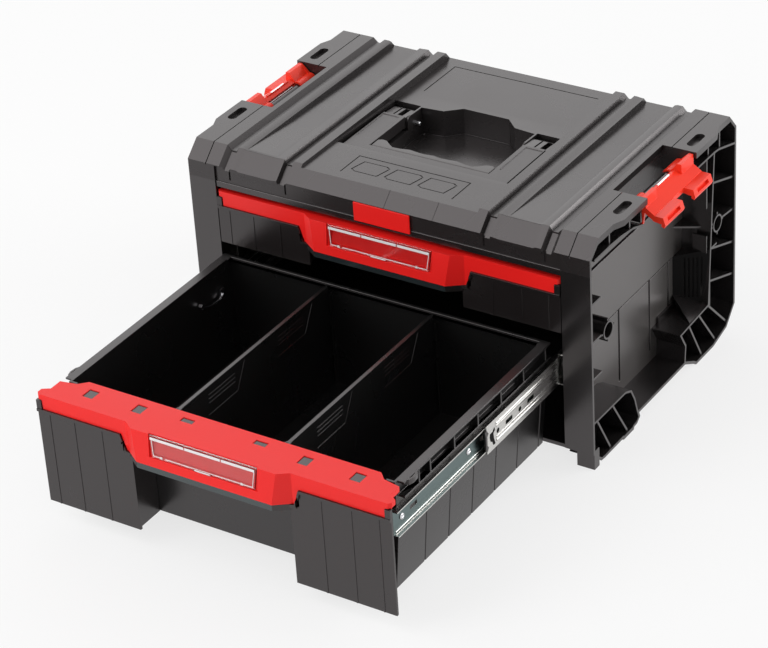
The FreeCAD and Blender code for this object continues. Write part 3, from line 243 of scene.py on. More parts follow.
def settled_dust() -> bpy.types.NodeTree:
    """Builds a thin veil that lies on faces that look up, stronger in patches.

    Returns:
        The node group, with outputs Color and Roughness.
    """
    graph = start_group(
        "settled_dust",
        {
            "Color": ("NodeSocketColor", (0.1, 0.1, 0.1, 1.0)),
            "Roughness": ("NodeSocketFloat", 0.45),
            "Amount": ("NodeSocketFloat", 0.04),
        },
        {"Color": "NodeSocketColor", "Roughness": "NodeSocketFloat"},
    )
    given = graph.add("NodeGroupInput")
    up = graph.add("ShaderNodeSeparateXYZ", {0: graph.add("ShaderNodeNewGeometry").outputs["Normal"]})
    place = graph.add("ShaderNodeTexCoord").outputs["Object"]
    patch = graph.add("ShaderNodeTexNoise", {"Vector": place, "Scale": 22.0, "Detail": 5.0})
    facing = graph.maths("MAXIMUM", up.outputs["Z"], 0.0)
    patches = graph.maths("MULTIPLY", facing, patch.outputs["Fac"])
    veil = graph.maths("MULTIPLY", patches, given.outputs["Amount"])
    colours = {"Fac": veil, "Color1": given.outputs["Color"], "Color2": (0.55, 0.53, 0.5, 1.0)}
    tone = graph.add("ShaderNodeMixRGB", colours)
    rough = graph.maths("ADD", given.outputs["Roughness"], graph.maths("MULTIPLY", veil, 1.5))
    graph.add("NodeGroupOutput", {"Color": tone.outputs["Color"], "Roughness": rough})
    return graph.tree


@dataclass(frozen=True)
class Plastic:
    """A moulded plastic: its colour, gloss and the grain of its mould."""

    name: str
    colour: Colour
    roughness: float = 0.42
    spread: float = 0.05
    tone: float = 0.12
    grain: float = 1400.0
    depth: float = 0.02 * MM
    relief: float = 0.6
    dust: float = 0.03
    specular: float = 0.5
    sheen: Colour = (1.0, 0.93, 0.94)

    def build(self) -> bpy.types.Material:
        """Builds the material.

        Returns:
            The material, its colour, roughness and bump driven by the shared groups.
        """
        material, graph, shader = start_material(self.name)
        grain = graph.add("ShaderNodeGroup", node_tree=shared_group(moulded_grain))
        set_inputs(grain, {"Color": (*self.colour, 1.0), "Tone": self.tone, "Roughness": self.roughness,
                           "Roughness Spread": self.spread, "Grain Scale": self.grain})
        dust = graph.add("ShaderNodeGroup", node_tree=shared_group(settled_dust))
        graph.tree.links.new(grain.outputs["Color"], dust.inputs["Color"])
        graph.tree.links.new(grain.outputs["Roughness"], dust.inputs["Roughness"])
        set_inputs(dust, {"Amount": self.dust})
        relief = {"Height": grain.outputs["Height"], "Distance": self.depth, "Strength": self.relief}
        graph.feed(shader, dust, graph.add("ShaderNodeBump", relief))
        set_inputs(shader, {"Specular IOR Level": self.specular, "Specular Tint": (*self.sheen, 1.0)})
        return material


@dataclass(frozen=True)
class Steel:
    """A bright steel: its colour, gloss and how strongly it is streaked."""

    name: str
    colour: Colour
    roughness: float = 0.28
    streak: float = 0.25
    depth: float = 0.008 * MM
    relief: float = 0.2

    def build(self) -> bpy.types.Material:
        """Builds the material.

        Returns:
            The material, with streaks in its colour, roughness and bump.
        """
        material, graph, shader = start_material(self.name)
        sheet = graph.add("ShaderNodeGroup", node_tree=shared_group(rolled_metal))
        set_inputs(sheet, {"Color": (*self.colour, 1.0), "Streak": self.streak, "Roughness": self.roughness})
        relief = {"Height": sheet.outputs["Height"], "Distance": self.depth, "Strength": self.relief}
        graph.feed(shader, sheet, graph.add("ShaderNodeBump", relief))
        shader.inputs["Metallic"].default_value = 1.0
        return material


@dataclass(frozen=True)
class ClearPlastic:
    """A clear moulded plastic with a faint haze of rubbing."""

    name: str
    colour: Colour
    roughness: float = 0.06
    index: float = 1.49

    def build(self) -> bpy.types.Material:
        """Builds the material.

        Returns:
            The material, clear with a haze that changes over the surface.
        """
        material, graph, shader = start_material(self.name)
        grain = graph.add("ShaderNodeGroup", node_tree=shared_group(moulded_grain))
        set_inputs(grain, {"Color": (*self.colour, 1.0), "Tone": 0.05, "Roughness": self.roughness,
                           "Roughness Spread": 0.08, "Grain Scale": 600.0, "Flow Scale": 60.0})
        graph.feed(shader, grain)
        set_inputs(shader, {"Transmission Weight": 1.0, "IOR": self.index})
        return material


def start_material(name: str) -> tuple[bpy.types.Material, Graph, bpy.types.Node]:
    """Starts a material.

    Args:
        name: The material's name.

    Returns:
        The material, a graph on its tree and its Principled shader.
    """
    material = bpy.data.materials.new(name)
    material.use_nodes = True
    shader = material.node_tree.nodes["Principled BSDF"]
    return material, Graph(material.node_tree), shader


def set_inputs(node: bpy.types.Node, values: dict[str, object]) -> None:
    """Sets the plain values of a node's named inputs."""
    for name, value in values.items():
        node.inputs[name].default_value = value


GROUPS: dict[str, bpy.types.NodeTree] = {}
MATERIALS: dict[str, bpy.types.Material] = {}


def shared_group(builder: Callable[[], bpy.types.NodeTree]) -> bpy.types.NodeTree:
    """Returns the group that a builder makes, built only once."""
    if builder.__name__ not in GROUPS:
        GROUPS[builder.__name__] = builder()
    return GROUPS[builder.__name__]


class Finish(Enum):
    """The box's finishes."""

    CASE = Plastic("grey_lid_plastic", (0.018, 0.016, 0.016), 0.27, specular=0.6, dust=0.008)
    FRAME = Plastic("frame_plastic", (0.011, 0.010, 0.010), 0.24, specular=0.9, dust=0.004)
    FRONT = Plastic("front_plastic", (0.012, 0.010, 0.010), 0.26, specular=0.7, dust=0.004)
    # Painted light: a lighter copy of the frame plastic for the shell's outer side walls, where light falls
    # from the side.
    WALL = Plastic("side_wall_plastic", (0.045, 0.042, 0.040), 0.30, dust=0.006, specular=0.9)
    # Painted reflection: a lighter, teal copy of the front plastic for the drawer fronts' foremost faces.
    LIP = Plastic("front_lip_plastic", (0.018, 0.024, 0.026), 0.24, dust=0.0, specular=0.9,
                  sheen=(0.9, 1.0, 1.0))
    # Painted shade: near-black, matt and hardly glossy, for faces that lie in deep shade.
    SHADE = Plastic("painted_shade_plastic", (0.004, 0.004, 0.004), 0.75, dust=0.0, specular=0.12)
    INSIDE = Plastic("inside_plastic", (0.007, 0.007, 0.007), 0.28, dust=0.003, specular=0.7)
    HANDLE = Plastic("grey_handle_plastic", (0.018, 0.016, 0.016), 0.27, specular=0.6, dust=0.008)
    GRIP = Plastic("grey_grip_plastic", (0.018, 0.017, 0.016), 0.28, specular=0.75, dust=0.008)
    RED = Plastic("red_cap_plastic", (0.86, 0.014, 0.012), 0.36, tone=0.05, dust=0.0, specular=0.3)
    LATCH = Plastic("red_latch_plastic", (0.92, 0.040, 0.016), 0.30, tone=0.05, dust=0.0, specular=0.3)
    STEEL = Steel("zinc_steel", (0.64, 0.63, 0.61), 0.26)
    # Painted shade and painted reflection: a darker, teal copy of the zinc for the runner members' flat
    # webs.
    SHADED = Steel("shaded_zinc_steel", (0.13, 0.175, 0.175), 0.30, 0.35)
    PIN = Steel("drawn_steel", (0.60, 0.60, 0.62), 0.22, 0.12)
    # Painted shade: near-black steel for the screws deep in the side frames' tubes, so the tubes read black.
    DARK_STEEL = Steel("painted_shade_dark_steel", (0.10, 0.10, 0.11), 0.35, 0.2)
    # Pale frosted plastic; on the window's hinge strip its white also stands in for a painted highlight
    # along the clear edge.
    FROST = Plastic("frosted_strip", (0.80, 0.77, 0.77), 0.18, tone=0.08, dust=0.0)
    CLEAR = ClearPlastic("clear_plastic", (0.95, 0.97, 0.98))

    def material(self) -> bpy.types.Material:
        """Returns the finish's material, built on first use."""
        if self.name not in MATERIALS:
            MATERIALS[self.name] = self.value.build()
        return MATERIALS[self.name]


def round_edges(piece: bpy.types.Object, width: float) -> None:
    """Rounds a piece's edges to a width in millimetres and shades it smoothly over the rounds."""
    if width > 0:
        bevel = piece.modifiers.new("round", "BEVEL")
        bevel.width = width * MM
        bevel.segments = ROUND_SEGMENTS
        bevel.limit_method = "ANGLE"
        bevel.angle_limit = ROUND_ANGLE
        bevel.use_clamp_overlap = True
    piece.modifiers.new("level", "WEIGHTED_NORMAL").weight = 100
    for face in piece.data.polygons:
        face.use_smooth = True


def soften(piece: bpy.types.Object, width: float) -> None:
    """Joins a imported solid's triangles to flat faces and rounds its edges.

    Args:
        piece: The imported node.
        width: Width of the rounds in millimetres.
    """
    carried = piece.data.attributes.get("custom_normal")
    if carried:
        piece.data.attributes.remove(carried)
    piece.modifiers.new("weld", "WELD").merge_threshold = WELD_REACH
    flat = piece.modifiers.new("flat", "DECIMATE")
    flat.decimate_type = "DISSOLVE"
    flat.angle_limit = FLAT_ANGLE
    round_edges(piece, width)


def dress(nodes: dict[str, bpy.types.Object], name: str, finish: Finish, width: float) -> None:
    """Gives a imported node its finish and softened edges."""
    piece = nodes[name]
    piece.data.materials.clear()
    piece.data.materials.append(finish.material())
    if width > 0:
        soften(piece, width)
    LOG.info("dressed %s in %s", name, finish.value.name)


def repaint(piece: bpy.types.Object, finish: Finish, low: Spot, high: Spot,
            facing: Spot | None = None) -> None:
    """Gives a second finish to the faces whose middle lies in a box.

    Args:
        piece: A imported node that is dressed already.
        finish: The second finish.
        low: The box's lowest corner in millimetres, at rest.
        high: Its highest corner.
        facing: Way that the faces have to look, or None for any.
    """
    piece.data.materials.append(finish.material())
    number = len(piece.data.materials) - 1
    for face in piece.data.polygons:
        inside = all(a <= c / MM <= b for a, c, b in zip(low, face.center, high))
        if inside and (facing is None or face.normal.dot(Vector(facing)) > SAME_WAY):
            face.material_index = number


@dataclass(frozen=True)
class Shading:
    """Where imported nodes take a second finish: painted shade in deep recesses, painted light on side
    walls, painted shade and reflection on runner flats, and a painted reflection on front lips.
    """

    case_low: Spot = (-250.0, -150.0, 0.0)
    case_high: Spot = (250.0, 150.0, 250.0)
    slant: Flat = (0.525, -0.851)
    wall: Flat = (192.0, 200.0)
    pocket_x: Flat = (192.0, 214.6)
    pocket_y: Flat = (-47.5, 55.0)
    pocket_z: Flat = (200.0, 245.2)
    web: Flat = (178.0, 181.0)
    lip_reach: float = 0.6
    lip_above: float = 20.0

    def build(self, nodes: dict[str, bpy.types.Object]) -> None:
        """Repaints all of these faces."""
        for side in Side:
            self.shade_side(nodes, side)
            for level in LEVELS:
                rail = f"{level}_{side.word}_drawer_rail"
                low, high = extent(rail)
                near, far = side.span(*self.web)
                start = (near, low.y, low.z)
                end = (far, high.y, high.z)
                # Runner webs: painted shade and reflection, in the darker teal steel.
                repaint(nodes[rail], Finish.SHADED, start, end, (side.value, 0, 0))
        for level in LEVELS:
            front = f"{level}_drawer_front"
            low, high = extent(front)
            start = (self.case_low[0], low.y - 1, low.z + self.lip_above)
            end = (self.case_high[0], low.y + self.lip_reach, high.z)
            # Foremost lip faces: painted reflection, in the lighter teal plastic.
            repaint(nodes[front], Finish.LIP, start, end)

    def shade_side(self, nodes: dict[str, bpy.types.Object], side: Side) -> None:
        """Repaints a side's slanted wall and latch pocket in painted shade, and its outer wall in painted
        light.
        """
        slant = (self.slant[0] * side.value, self.slant[1], 0.0)
        # Slanted wall: painted shade.
        repaint(nodes[f"{side.word}_side_frame"], Finish.SHADE, self.case_low, self.case_high, slant)
        # Outer side walls: painted light, in the lighter copy of the frame plastic.
        near, far = side.span(*self.wall)
        start = (near, self.case_low[1], self.case_low[2])
        end = (far, self.case_high[1], self.case_high[2])
        repaint(nodes["cabinet_shell"], Finish.WALL, start, end, (side.value, 0, 0))
        # Latch pocket: painted shade.
        near, far = side.span(*self.pocket_x)
        start = (near, self.pocket_y[0], self.pocket_z[0])
        end = (far, self.pocket_y[1], self.pocket_z[1])
        repaint(nodes["top_cover"], Finish.SHADE, start, end)


@dataclass
class Blank:
    """A small part in the making: plain shapes in millimetres, gathered in one mesh."""

    name: str
    mesh: bmesh.types.BMesh = field(default_factory=bmesh.new)

    def bar(self, axis: Axis, outline: Sequence[Flat], low: float, high: float) -> None:
        """Adds a bar with one outline from end to end.

        Args:
            axis: The axis that it runs along.
            outline: Its section in the two other axes, in X, Y, Z order.
            low: Where it starts.
            high: Where it ends.
        """
        self.skin([[spot_on(axis, along, u, v) for u, v in outline] for along in (low, high)])

    def skin(self, loops: Sequence[Sequence[Vector]]) -> None:
        """Adds a closed skin over loops with the same number of corners, the first and last capped."""
        rings = [[self.mesh.verts.new(spot) for spot in loop] for loop in loops]
        for near, far in zip(rings, rings[1:]):
            for i, vertex in enumerate(near):
                after = (i + 1) % len(near)
                self.mesh.faces.new((vertex, near[after], far[after], far[i]))
        self.mesh.faces.new(rings[0][::-1])
        self.mesh.faces.new(rings[-1])

    def turned(self, axis: Axis, centre: Flat, profile: Sequence[Spot], sides: int = 24) -> None:
        """Adds a turned shape, with four notches where its profile asks for them.

        Args:
            axis: The axis that it is turned about.
            centre: Where that axis stands, in the two other axes.
            profile: Place along the axis, radius, and depth of the notches as a share of the radius.
            sides: Facets round it, a multiple of eight.
        """
        arm_edge = 0.6
        loops = []
        for along, radius, notch in profile:
            loop = []
            for i in range(sides):
                turn = 2 * math.pi * i / sides
                between_arms = abs(math.sin(2 * turn)) > arm_edge
                reach = radius * (1 - notch) if between_arms else radius
                u = centre[0] + reach * math.cos(turn)
                v = centre[1] + reach * math.sin(turn)
                loop.append(spot_on(axis, along, u, v))
            loops.append(loop)
        self.skin(loops)

    def slab(self, corners: Sequence[Spot], shift: Spot) -> None:
        """Adds a flat plate with any number of corners, as thick as the shift to its other face."""
        near = [Vector(corner) * MM for corner in corners]
        self.skin([near, [spot + Vector(shift) * MM for spot in near]])

    def screw(self, axis: Axis, face: float, centre: Flat, radius: float, rise: float) -> None:
        """Adds a pan-head screw with a cross recess; rise is signed and points away from its seat."""
        shape = [(0, 1, 0), (0.35, 1, 0), (0.75, 0.86, 0), (1, 0.62, 0), (1, 0.52, 0.62), (0.35, 0.40, 0.62)]
        self.turned(axis, centre, [(face + rise * up, radius * out, notch) for up, out, notch in shape])

    def dome(self, axis: Axis, face: float, centre: Flat, radius: float, rise: float) -> None:
        """Adds a rivet's low dome; rise is signed and points away from its seat."""
        shape = [(0, 1), (0.5, 0.9), (0.85, 0.6), (1, 0.2)]
        self.turned(axis, centre, [(face + rise * up, radius * out, 0) for up, out in shape])

    def place(self, finish: Finish, body: str, slot: str, rounding: float = 0.0) -> bpy.types.Object:
        """Turns the shapes into a piece of the box.

        Args:
            finish: Its finish.
            body: The moving body that it rides on.
            slot: The record's material slot that its finish belongs to; not used.
            rounding: Width of its rounded edges in millimetres.

        Returns:
            The piece.
        """
        bmesh.ops.recalc_face_normals(self.mesh, faces=self.mesh.faces)
        data = bpy.data.meshes.new(self.name)
        self.mesh.to_mesh(data)
        self.mesh.free()
        piece = bpy.data.objects.new(self.name, data)
        bpy.context.scene.collection.objects.link(piece)
        data.materials.append(finish.material())
        round_edges(piece, rounding)
        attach(piece, body)
        LOG.info("placed %s on %s", self.name, body)
        return piece


def spot_on(axis: Axis, along: float, u: float, v: float) -> Vector:
    """Returns a point in metres from its place along an axis and along the two others."""
    parts = [u, v]
    parts.insert(axis.value, along)
    return Vector(parts) * MM


def extent(name: str) -> tuple[Vector, Vector]:
    """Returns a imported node's lowest and highest corners at rest, in millimetres."""
    low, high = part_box(name)
    return Vector(low) / MM, Vector(high) / MM


def half_round(sign: int, seat: float, height: float, half_width: float, rise: float) -> list[Flat]:
    """Works out a rolled bead's section.

    Args:
        sign: Which way it bulges along X.
        seat: The X of the sheet that it is rolled in.
        height: The Z of its middle.
        half_width: Half its width.
        rise: How far it bulges.

    Returns:
        Its outline in X and Z.
    """
    steps = 8
    turns = [math.pi * i / steps for i in range(steps + 1)]
    return [(seat + sign * rise * math.sin(t), height + half_width * math.cos(t)) for t in turns]


@dataclass
class RunnerTrim:
    """Beads, a rivet, screws, the front stop and the bracket's slot of one ball runner."""

    level: str
    side: Side
    sheet: float = 1.2
    screw_radius: float = 3.4
    screw_rise: float = 1.5
    member_screws: tuple[float, ...] = (14.0, 128.0, 226.0)
    cabinet_screws: tuple[float, ...] = (12.0, 120.0, 225.0)
    middle_bead_half: float = 1.2
    middle_beads: tuple[Flat, ...] = ((-9.0, 0.7), (-5.6, 0.35), (6.2, 0.35), (9.2, 0.7))
    member_bead_half: float = 0.7
    member_beads: tuple[Flat, ...] = ((-10.6, 0.7), (10.2, 0.7))
    slot_outline: tuple[Flat, ...] = (
        (13.6, 6.9), (10.6, 3.7), (6.1, 3.6), (5.0, 0.5), (6.4, -4.7), (9.4, -6.6), (11.0, -10.8),
        (14.4, -10.8), (11.9, -3.6), (11.4, 2.1), (14.3, 3.8))
    stop_outline: tuple[Flat, ...] = (
        (-2.6, -10.5), (0.4, -12.0), (2.4, -8.0), (0.2, -5.6), (0.5, 4.3), (2.8, 6.4), (-0.6, 11.5),
        (-3.6, 10.4), (-2.6, 4.7), (-2.4, -6.2))

    @property
    def label(self) -> str:
        """The runner's name."""
        return f"{self.level}_{self.side.word}"

    def build(self) -> None:
        """Builds the trim of all three members."""
        self.dress_middle()
        self.dress_member()
        self.dress_cabinet()

    def beads(self, member: str, face: float, level: float, ends: Flat) -> Blank:
        """Starts a blank with the beads of a member.

        Args:
            member: The member, middle or member.
            face: The X of its sheet's face.
            level: The Z of its middle.
            ends: The beads' first and last Y.

        Returns:
            The blank, ready for more shapes.
        """
        rows = self.middle_beads if member == "middle" else self.member_beads
        half = self.middle_bead_half if member == "middle" else self.member_bead_half
        blank = Blank(f"{self.label}_{member}_beads")
        for offset, rise in rows:
            blank.bar(Axis.Y, half_round(self.side.value, face, level + offset, half, rise), *ends)
        return blank

    def dress_middle(self) -> None:
        """Puts beads, a rivet, the bracket's slot and the front stop on the middle member's outer face."""
        low, high = extent(f"{self.label}_middle_rail")
        sign = self.side.value
        face = high.x if sign > 0 else low.x
        level = (low.z + high.z) / 2
        body = f"{self.level}_runner_middles"
        beads = self.beads("middle", face, level, (low.y + 17, high.y - 5))
        beads.dome(Axis.X, face, (high.y - 14.0, level - 6.5), 2.0, sign * 0.8)
        beads.place(Finish.STEEL, body, "runner_steel")
        # The bracket's slot is a thin near-black sheet on the face: painted shade standing for the hole.
        gap = Blank(f"{self.label}_bracket_slot")
        spots = [(face + sign * 0.02, low.y + y, level + z) for y, z in self.slot_outline]
        gap.slab(spots, (sign * 0.25, 0, 0))
        gap.place(Finish.SHADE, body, "drawer_plastic")
        stop = Blank(f"{self.label}_front_stop")
        spots = [(face - sign * 1.3, low.y + y, level + z) for y, z in self.stop_outline]
        stop.slab(spots, (sign * 1.8, 0, 0))
        stop.place(Finish.INSIDE, body, "drawer_plastic", 0.25)

    def dress_member(self) -> None:
        """Puts beads and screws in the drawer member's channel."""
        low, high = extent(f"{self.label}_drawer_rail")
        sign = self.side.value
        face = (low.x + self.sheet) if sign > 0 else (high.x - self.sheet)
        level = (low.z + high.z) / 2
        beads = self.beads("member", face, level, (low.y + 3, high.y - 3))
        beads.place(Finish.STEEL, f"{self.level}_drawer", "runner_steel")
        screws = Blank(f"{self.label}_member_screws")
        for at in self.member_screws:
            screws.screw(Axis.X, face, (low.y + at, level), self.screw_radius, sign * self.screw_rise)
        screws.place(Finish.PIN, f"{self.level}_drawer", "runner_steel")

    def dress_cabinet(self) -> None:
        """Puts screws in the cabinet member's channel."""
        low, high = extent(f"{self.label}_cabinet_rail")
        sign = self.side.value
        face = (high.x - self.sheet) if sign > 0 else (low.x + self.sheet)
        level = (low.z + high.z) / 2
        screws = Blank(f"{self.label}_cabinet_screws")
        for at in self.cabinet_screws:
            screws.screw(Axis.X, face, (low.y + at, level), self.screw_radius, -sign * self.screw_rise)
        screws.place(Finish.PIN, "case", "runner_steel")


@dataclass
class WindowTrim:
    """The frosted hinge strip, rims, clips and pull ridge of a label window."""

    level: str
    bulge_height: float = 33.0
    bulge_lean: float = 3.2
    end_gap: float = 1.2
    break_at: float = 20.0
    break_gap: float = 1.2
    clip_at: float = 44.0
    clip_width: float = 3.0
    rim_width: float = 0.7
    pull_half: float = 8.5
    cap_low: Vector = field(init=False)
    cap_high: Vector = field(init=False)

    def build(self) -> None:
        """Builds the strip and the rims on the flap."""
        self.cap_low, self.cap_high = extent(f"{self.level}_drawer_cap")
        low, high = extent(f"{self.level}_label_window")
        reach = high.x - self.end_gap
        self.add_strip(reach, high.z - 1.0)
        self.add_rims(reach, low.z, high.z - 1.0)

    def add_strip(self, reach: float, top: float) -> None:
        """Adds the frosted strip along the hinge, in three lengths; its pale white also stands in for a
        painted highlight on the clear hinge edge.
        """
        strip = Blank(f"{self.level}_window_strip")
        after = self.break_gap
        at = self.break_at
        for start, end in ((-reach, -at), (after - at, at), (at + after, reach)):
            strip.bar(Axis.X, self.leaning(top - 3.1, top - 0.5, -1.05, -0.5), start, end)
        strip.place(Finish.FROST, f"{self.level}_label_window", "window_plastic", 0.25)

    def add_rims(self, reach: float, bottom: float, top: float) -> None:
        """Adds the rims at the sides and the bottom, both clips and the pull's ridge."""
        rims = Blank(f"{self.level}_window_rims")
        at = self.clip_at
        wide = self.clip_width
        for start, end in ((3.4 - reach, -at), (wide - at, at - wide), (at, reach - 3.4)):
            rims.bar(Axis.X, self.leaning(bottom + 1.6, bottom + 2.2, -0.2, 0.2), start, end)
        for side in Side:
            sign = side.value
            foot = (sign * (reach - 2.6), bottom + 1.6)
            head = (sign * (reach - 0.6), top - 3.4)
            inward = sign * self.rim_width
            rim = (foot, (foot[0] - inward, foot[1]), (head[0] - inward, head[1]), head)
            rims.slab([(x, self.face(z) - 0.25, z) for x, z in rim], (0, 0.45, 0))
            clip = ((sign * at - wide, bottom + 0.8), (sign * at, bottom + 0.8),
                    (sign * at - 0.5, bottom + 3.0), (sign * at - wide + 0.5, bottom + 3.0))
            rims.slab([(x, self.face(z) - 0.4, z) for x, z in clip], (0, 0.6, 0))
        ridge = self.leaning(bottom + 0.5, bottom + 1.5, -1.1, -0.6)
        rims.bar(Axis.X, ridge, -self.pull_half, self.pull_half)
        rims.place(Finish.FROST, f"{self.level}_label_window", "window_plastic", 0.12)

    def face(self, height: float) -> float:
        """Returns the Y of the bulge's leaning face at a height."""
        above = height - (self.cap_high.z - self.bulge_height)
        return self.cap_low.y + self.bulge_lean * above / self.bulge_height

    def leaning(self, low: float, high: float, near: float, far: float) -> list[Flat]:
        """Returns a section in Y and Z that leans as the bulge does."""
        return [(self.face(low) + near, low), (self.face(high) + near, high),
                (self.face(high) + far, high), (self.face(low) + far, low)]


@dataclass
class WellTrim:
    """The hand well's floor bead and bosses, and the handle pins' domed ends."""

    half: float = 65.0
    floor_level: float = 210.0
    front_y: float = -59.0
    bend_y: float = 31.0
    shoulder: Flat = (41.0, 33.5)
    rear: Flat = (26.0, 48.0)
    bead_width: float = 1.1
    bead_height: float = 0.8
    boss_radius: float = 1.5
    boss_rise: float = 1.2
    pin_radius: float = 2.5
    pin_rise: float = 1.3

    def build(self) -> None:
        """Builds the bead, the bosses and the pin ends."""
        self.add_bead()
        self.add_bosses()
        self.add_pin_ends()

    def add_bead(self) -> None:
        """Runs the bead along the foot of the well's walls, open at the front."""
        right = [self.rear, self.shoulder, (self.half, self.bend_y), (self.half, self.front_y)]
        route = [(-x, y) for x, y in reversed(right)] + right
        bead = Blank("well_floor_bead")
        for (x0, y0), (x1, y1) in zip(route, route[1:]):
            start = Vector((x0, y0, self.floor_level))
            end = Vector((x1, y1, self.floor_level))
            run = (end - start).normalized()
            across = Vector((run.y, -run.x, 0)) * self.bead_width
            corners = (start, end, end + across, start + across)
            bead.slab([tuple(corner) for corner in corners], (0, 0, self.bead_height))
        bead.place(Finish.HANDLE, "case", "case_plastic", 0.25)

    def add_bosses(self) -> None:
        """Adds the low bosses in the floor's rear corners and beside the left wall."""
        bosses = Blank("well_corner_bosses")
        side = self.half - 2.4
        for x, y in ((-side, self.bend_y - 2.0), (side, self.bend_y - 2.0), (3.0 - self.half, -18.0)):
            bosses.dome(Axis.Z, self.floor_level, (x, y), self.boss_radius, self.boss_rise)
        bosses.place(Finish.HANDLE, "case", "case_plastic")

    def add_pin_ends(self) -> None:
        """Adds the domed inner ends of both handle pins."""
        low, high = extent("handle_hinge_pins")
        centre = ((low.y + high.y) / 2, (low.z + high.z) / 2)
        ends = Blank("pin_ends")
        for side in Side:
            start = side.value * (self.half - 3.4)
            ends.dome(Axis.X, start, centre, self.pin_radius, -side.value * self.pin_rise)
        ends.place(Finish.PIN, "case", "pin_steel")


@dataclass
class DrawerCorners:
    """The ring-shaped lugs on a drawer box's rim behind the front's ends."""

    level: str
    outer: float = 188.6
    sunk: float = 6.0
    below_rim: float = 0.4
    outline: tuple[Flat, ...] = (
        (-11.4, 9.0), (-6.8, 7.4), (-1.6, 9.6), (0.0, 15.0), (-0.6, 22.0), (-3.6, 27.4), (-8.4, 29.8),
        (-8.4, 27.6), (-5.0, 25.8), (-2.8, 21.4), (-2.2, 15.2), (-3.2, 11.6), (-6.8, 9.8), (-11.4, 11.2))

    def build(self) -> None:
        """Builds the lugs of both front corners."""
        low, high = extent(f"{self.level}_drawer_box")
        lugs = Blank(f"{self.level}_drawer_corner_lugs")
        floor = high.z - self.sunk
        for side in Side:
            spots = [(side.value * (self.outer + x), low.y + y, floor) for x, y in self.outline]
            lugs.slab(spots, (0, 0, self.sunk - self.below_rim))
        lugs.place(Finish.FRONT, f"{self.level}_drawer", "drawer_plastic", 0.3)


@dataclass
class DividerHooks:
    """The small loops that hold the lower drawer's dividers at their front ends."""

    forward: float = 4.6
    below_top: float = 5.2
    height: float = 5.5
    outline: tuple[Flat, ...] = (
        (-4.2, -4.6), (-3.4, 1.4), (-1.6, 4.4), (1.6, 4.4), (3.4, 1.4), (4.2, -4.6), (2.6, -4.6),
        (1.9, 0.6), (0.9, 2.4), (-0.9, 2.4), (-1.9, 0.6), (-2.6, -4.6))

    def build(self) -> None:
        """Builds the loops of both dividers."""
        low, high = extent("right_divider")
        middle = (low.x + high.x) / 2
        start = low.y + self.forward
        floor = high.z - self.below_top
        hooks = Blank("divider_hooks")
        for side in Side:
            spots = [(side.value * middle + x, start + y, floor) for x, y in self.outline]
            hooks.slab(spots, (0, 0, self.height))
        hooks.place(Finish.FRONT, "lower_drawer", "divider_plastic", 0.2)


@dataclass
class LatchTrim:
    """A thin bright steel strip along a side latch's ridge: a painted highlight standing for the glint on
    the plastic ridge.
    """

    side: Side
    pivot_x: float = 213.0
    pivot_z: float = 229.5
    ridge: Flat = (6.7, 8.7)
    top: float = 9.8
    rise: float = 0.5
    sunk: float = 0.1
    slope: float = 0.3
    reach: Flat = (-13.0, 10.0)

    def build(self) -> None:
        """Builds the strip."""
        body = f"{self.side.word}_latch"
        low, high = extent(body)
        middle = (low.y + high.y) / 2
        near, far = self.side.span(*(self.pivot_x + out for out in self.ridge))
        foot = self.pivot_z + self.top - self.sunk
        head = self.pivot_z + self.top + self.rise
        section = [(near, foot), (near + self.slope, head), (far - self.slope, head), (far, foot)]
        # Painted highlight: bright steel laid along the ridge where the plastic catches the light.
        strip = Blank(f"{body}_wear_strip")
        strip.bar(Axis.Y, section, middle + self.reach[0], middle + self.reach[1])
        strip.place(Finish.PIN, body, "pin_steel", 0.1)


@dataclass
class BossScrews:
    """The screws sunk in a side frame's tubes."""

    side: Side
    seat: float = 201.2
    level: float = 138.0
    places: tuple[float, ...] = (-115.0, 112.0)
    radius: float = 4.6
    rise: float = 2.6

    def build(self) -> None:
        """Builds both screws."""
        sign = self.side.value
        screws = Blank(f"{self.side.word}_frame_screws")
        for at in self.places:
            screws.screw(Axis.X, sign * self.seat, (at, self.level), self.radius, sign * self.rise)
        # Near-black screws: painted shade in the deep tubes.
        screws.place(Finish.DARK_STEEL, "case", "pin_steel")


@dataclass(frozen=True)
class Lamp:
    """A soft box: where it hangs, its width and height, and its watts."""

    name: str
    spot: Spot
    size: Flat
    watts: float

    def hang(self, target: Spot) -> None:
        """Hangs the lamp so that it faces a target."""
        data = bpy.data.lights.new(self.name, "AREA")
        data.shape = "RECTANGLE"
        data.size, data.size_y = self.size
        data.energy = self.watts
        lamp = bpy.data.objects.new(self.name, data)
        bpy.context.scene.collection.objects.link(lamp)
        aim = (Vector(target) - Vector(self.spot)).to_track_quat("-Z", "Y")
        lamp.matrix_world = Matrix.Translation(self.spot) @ aim.to_matrix().to_4x4()


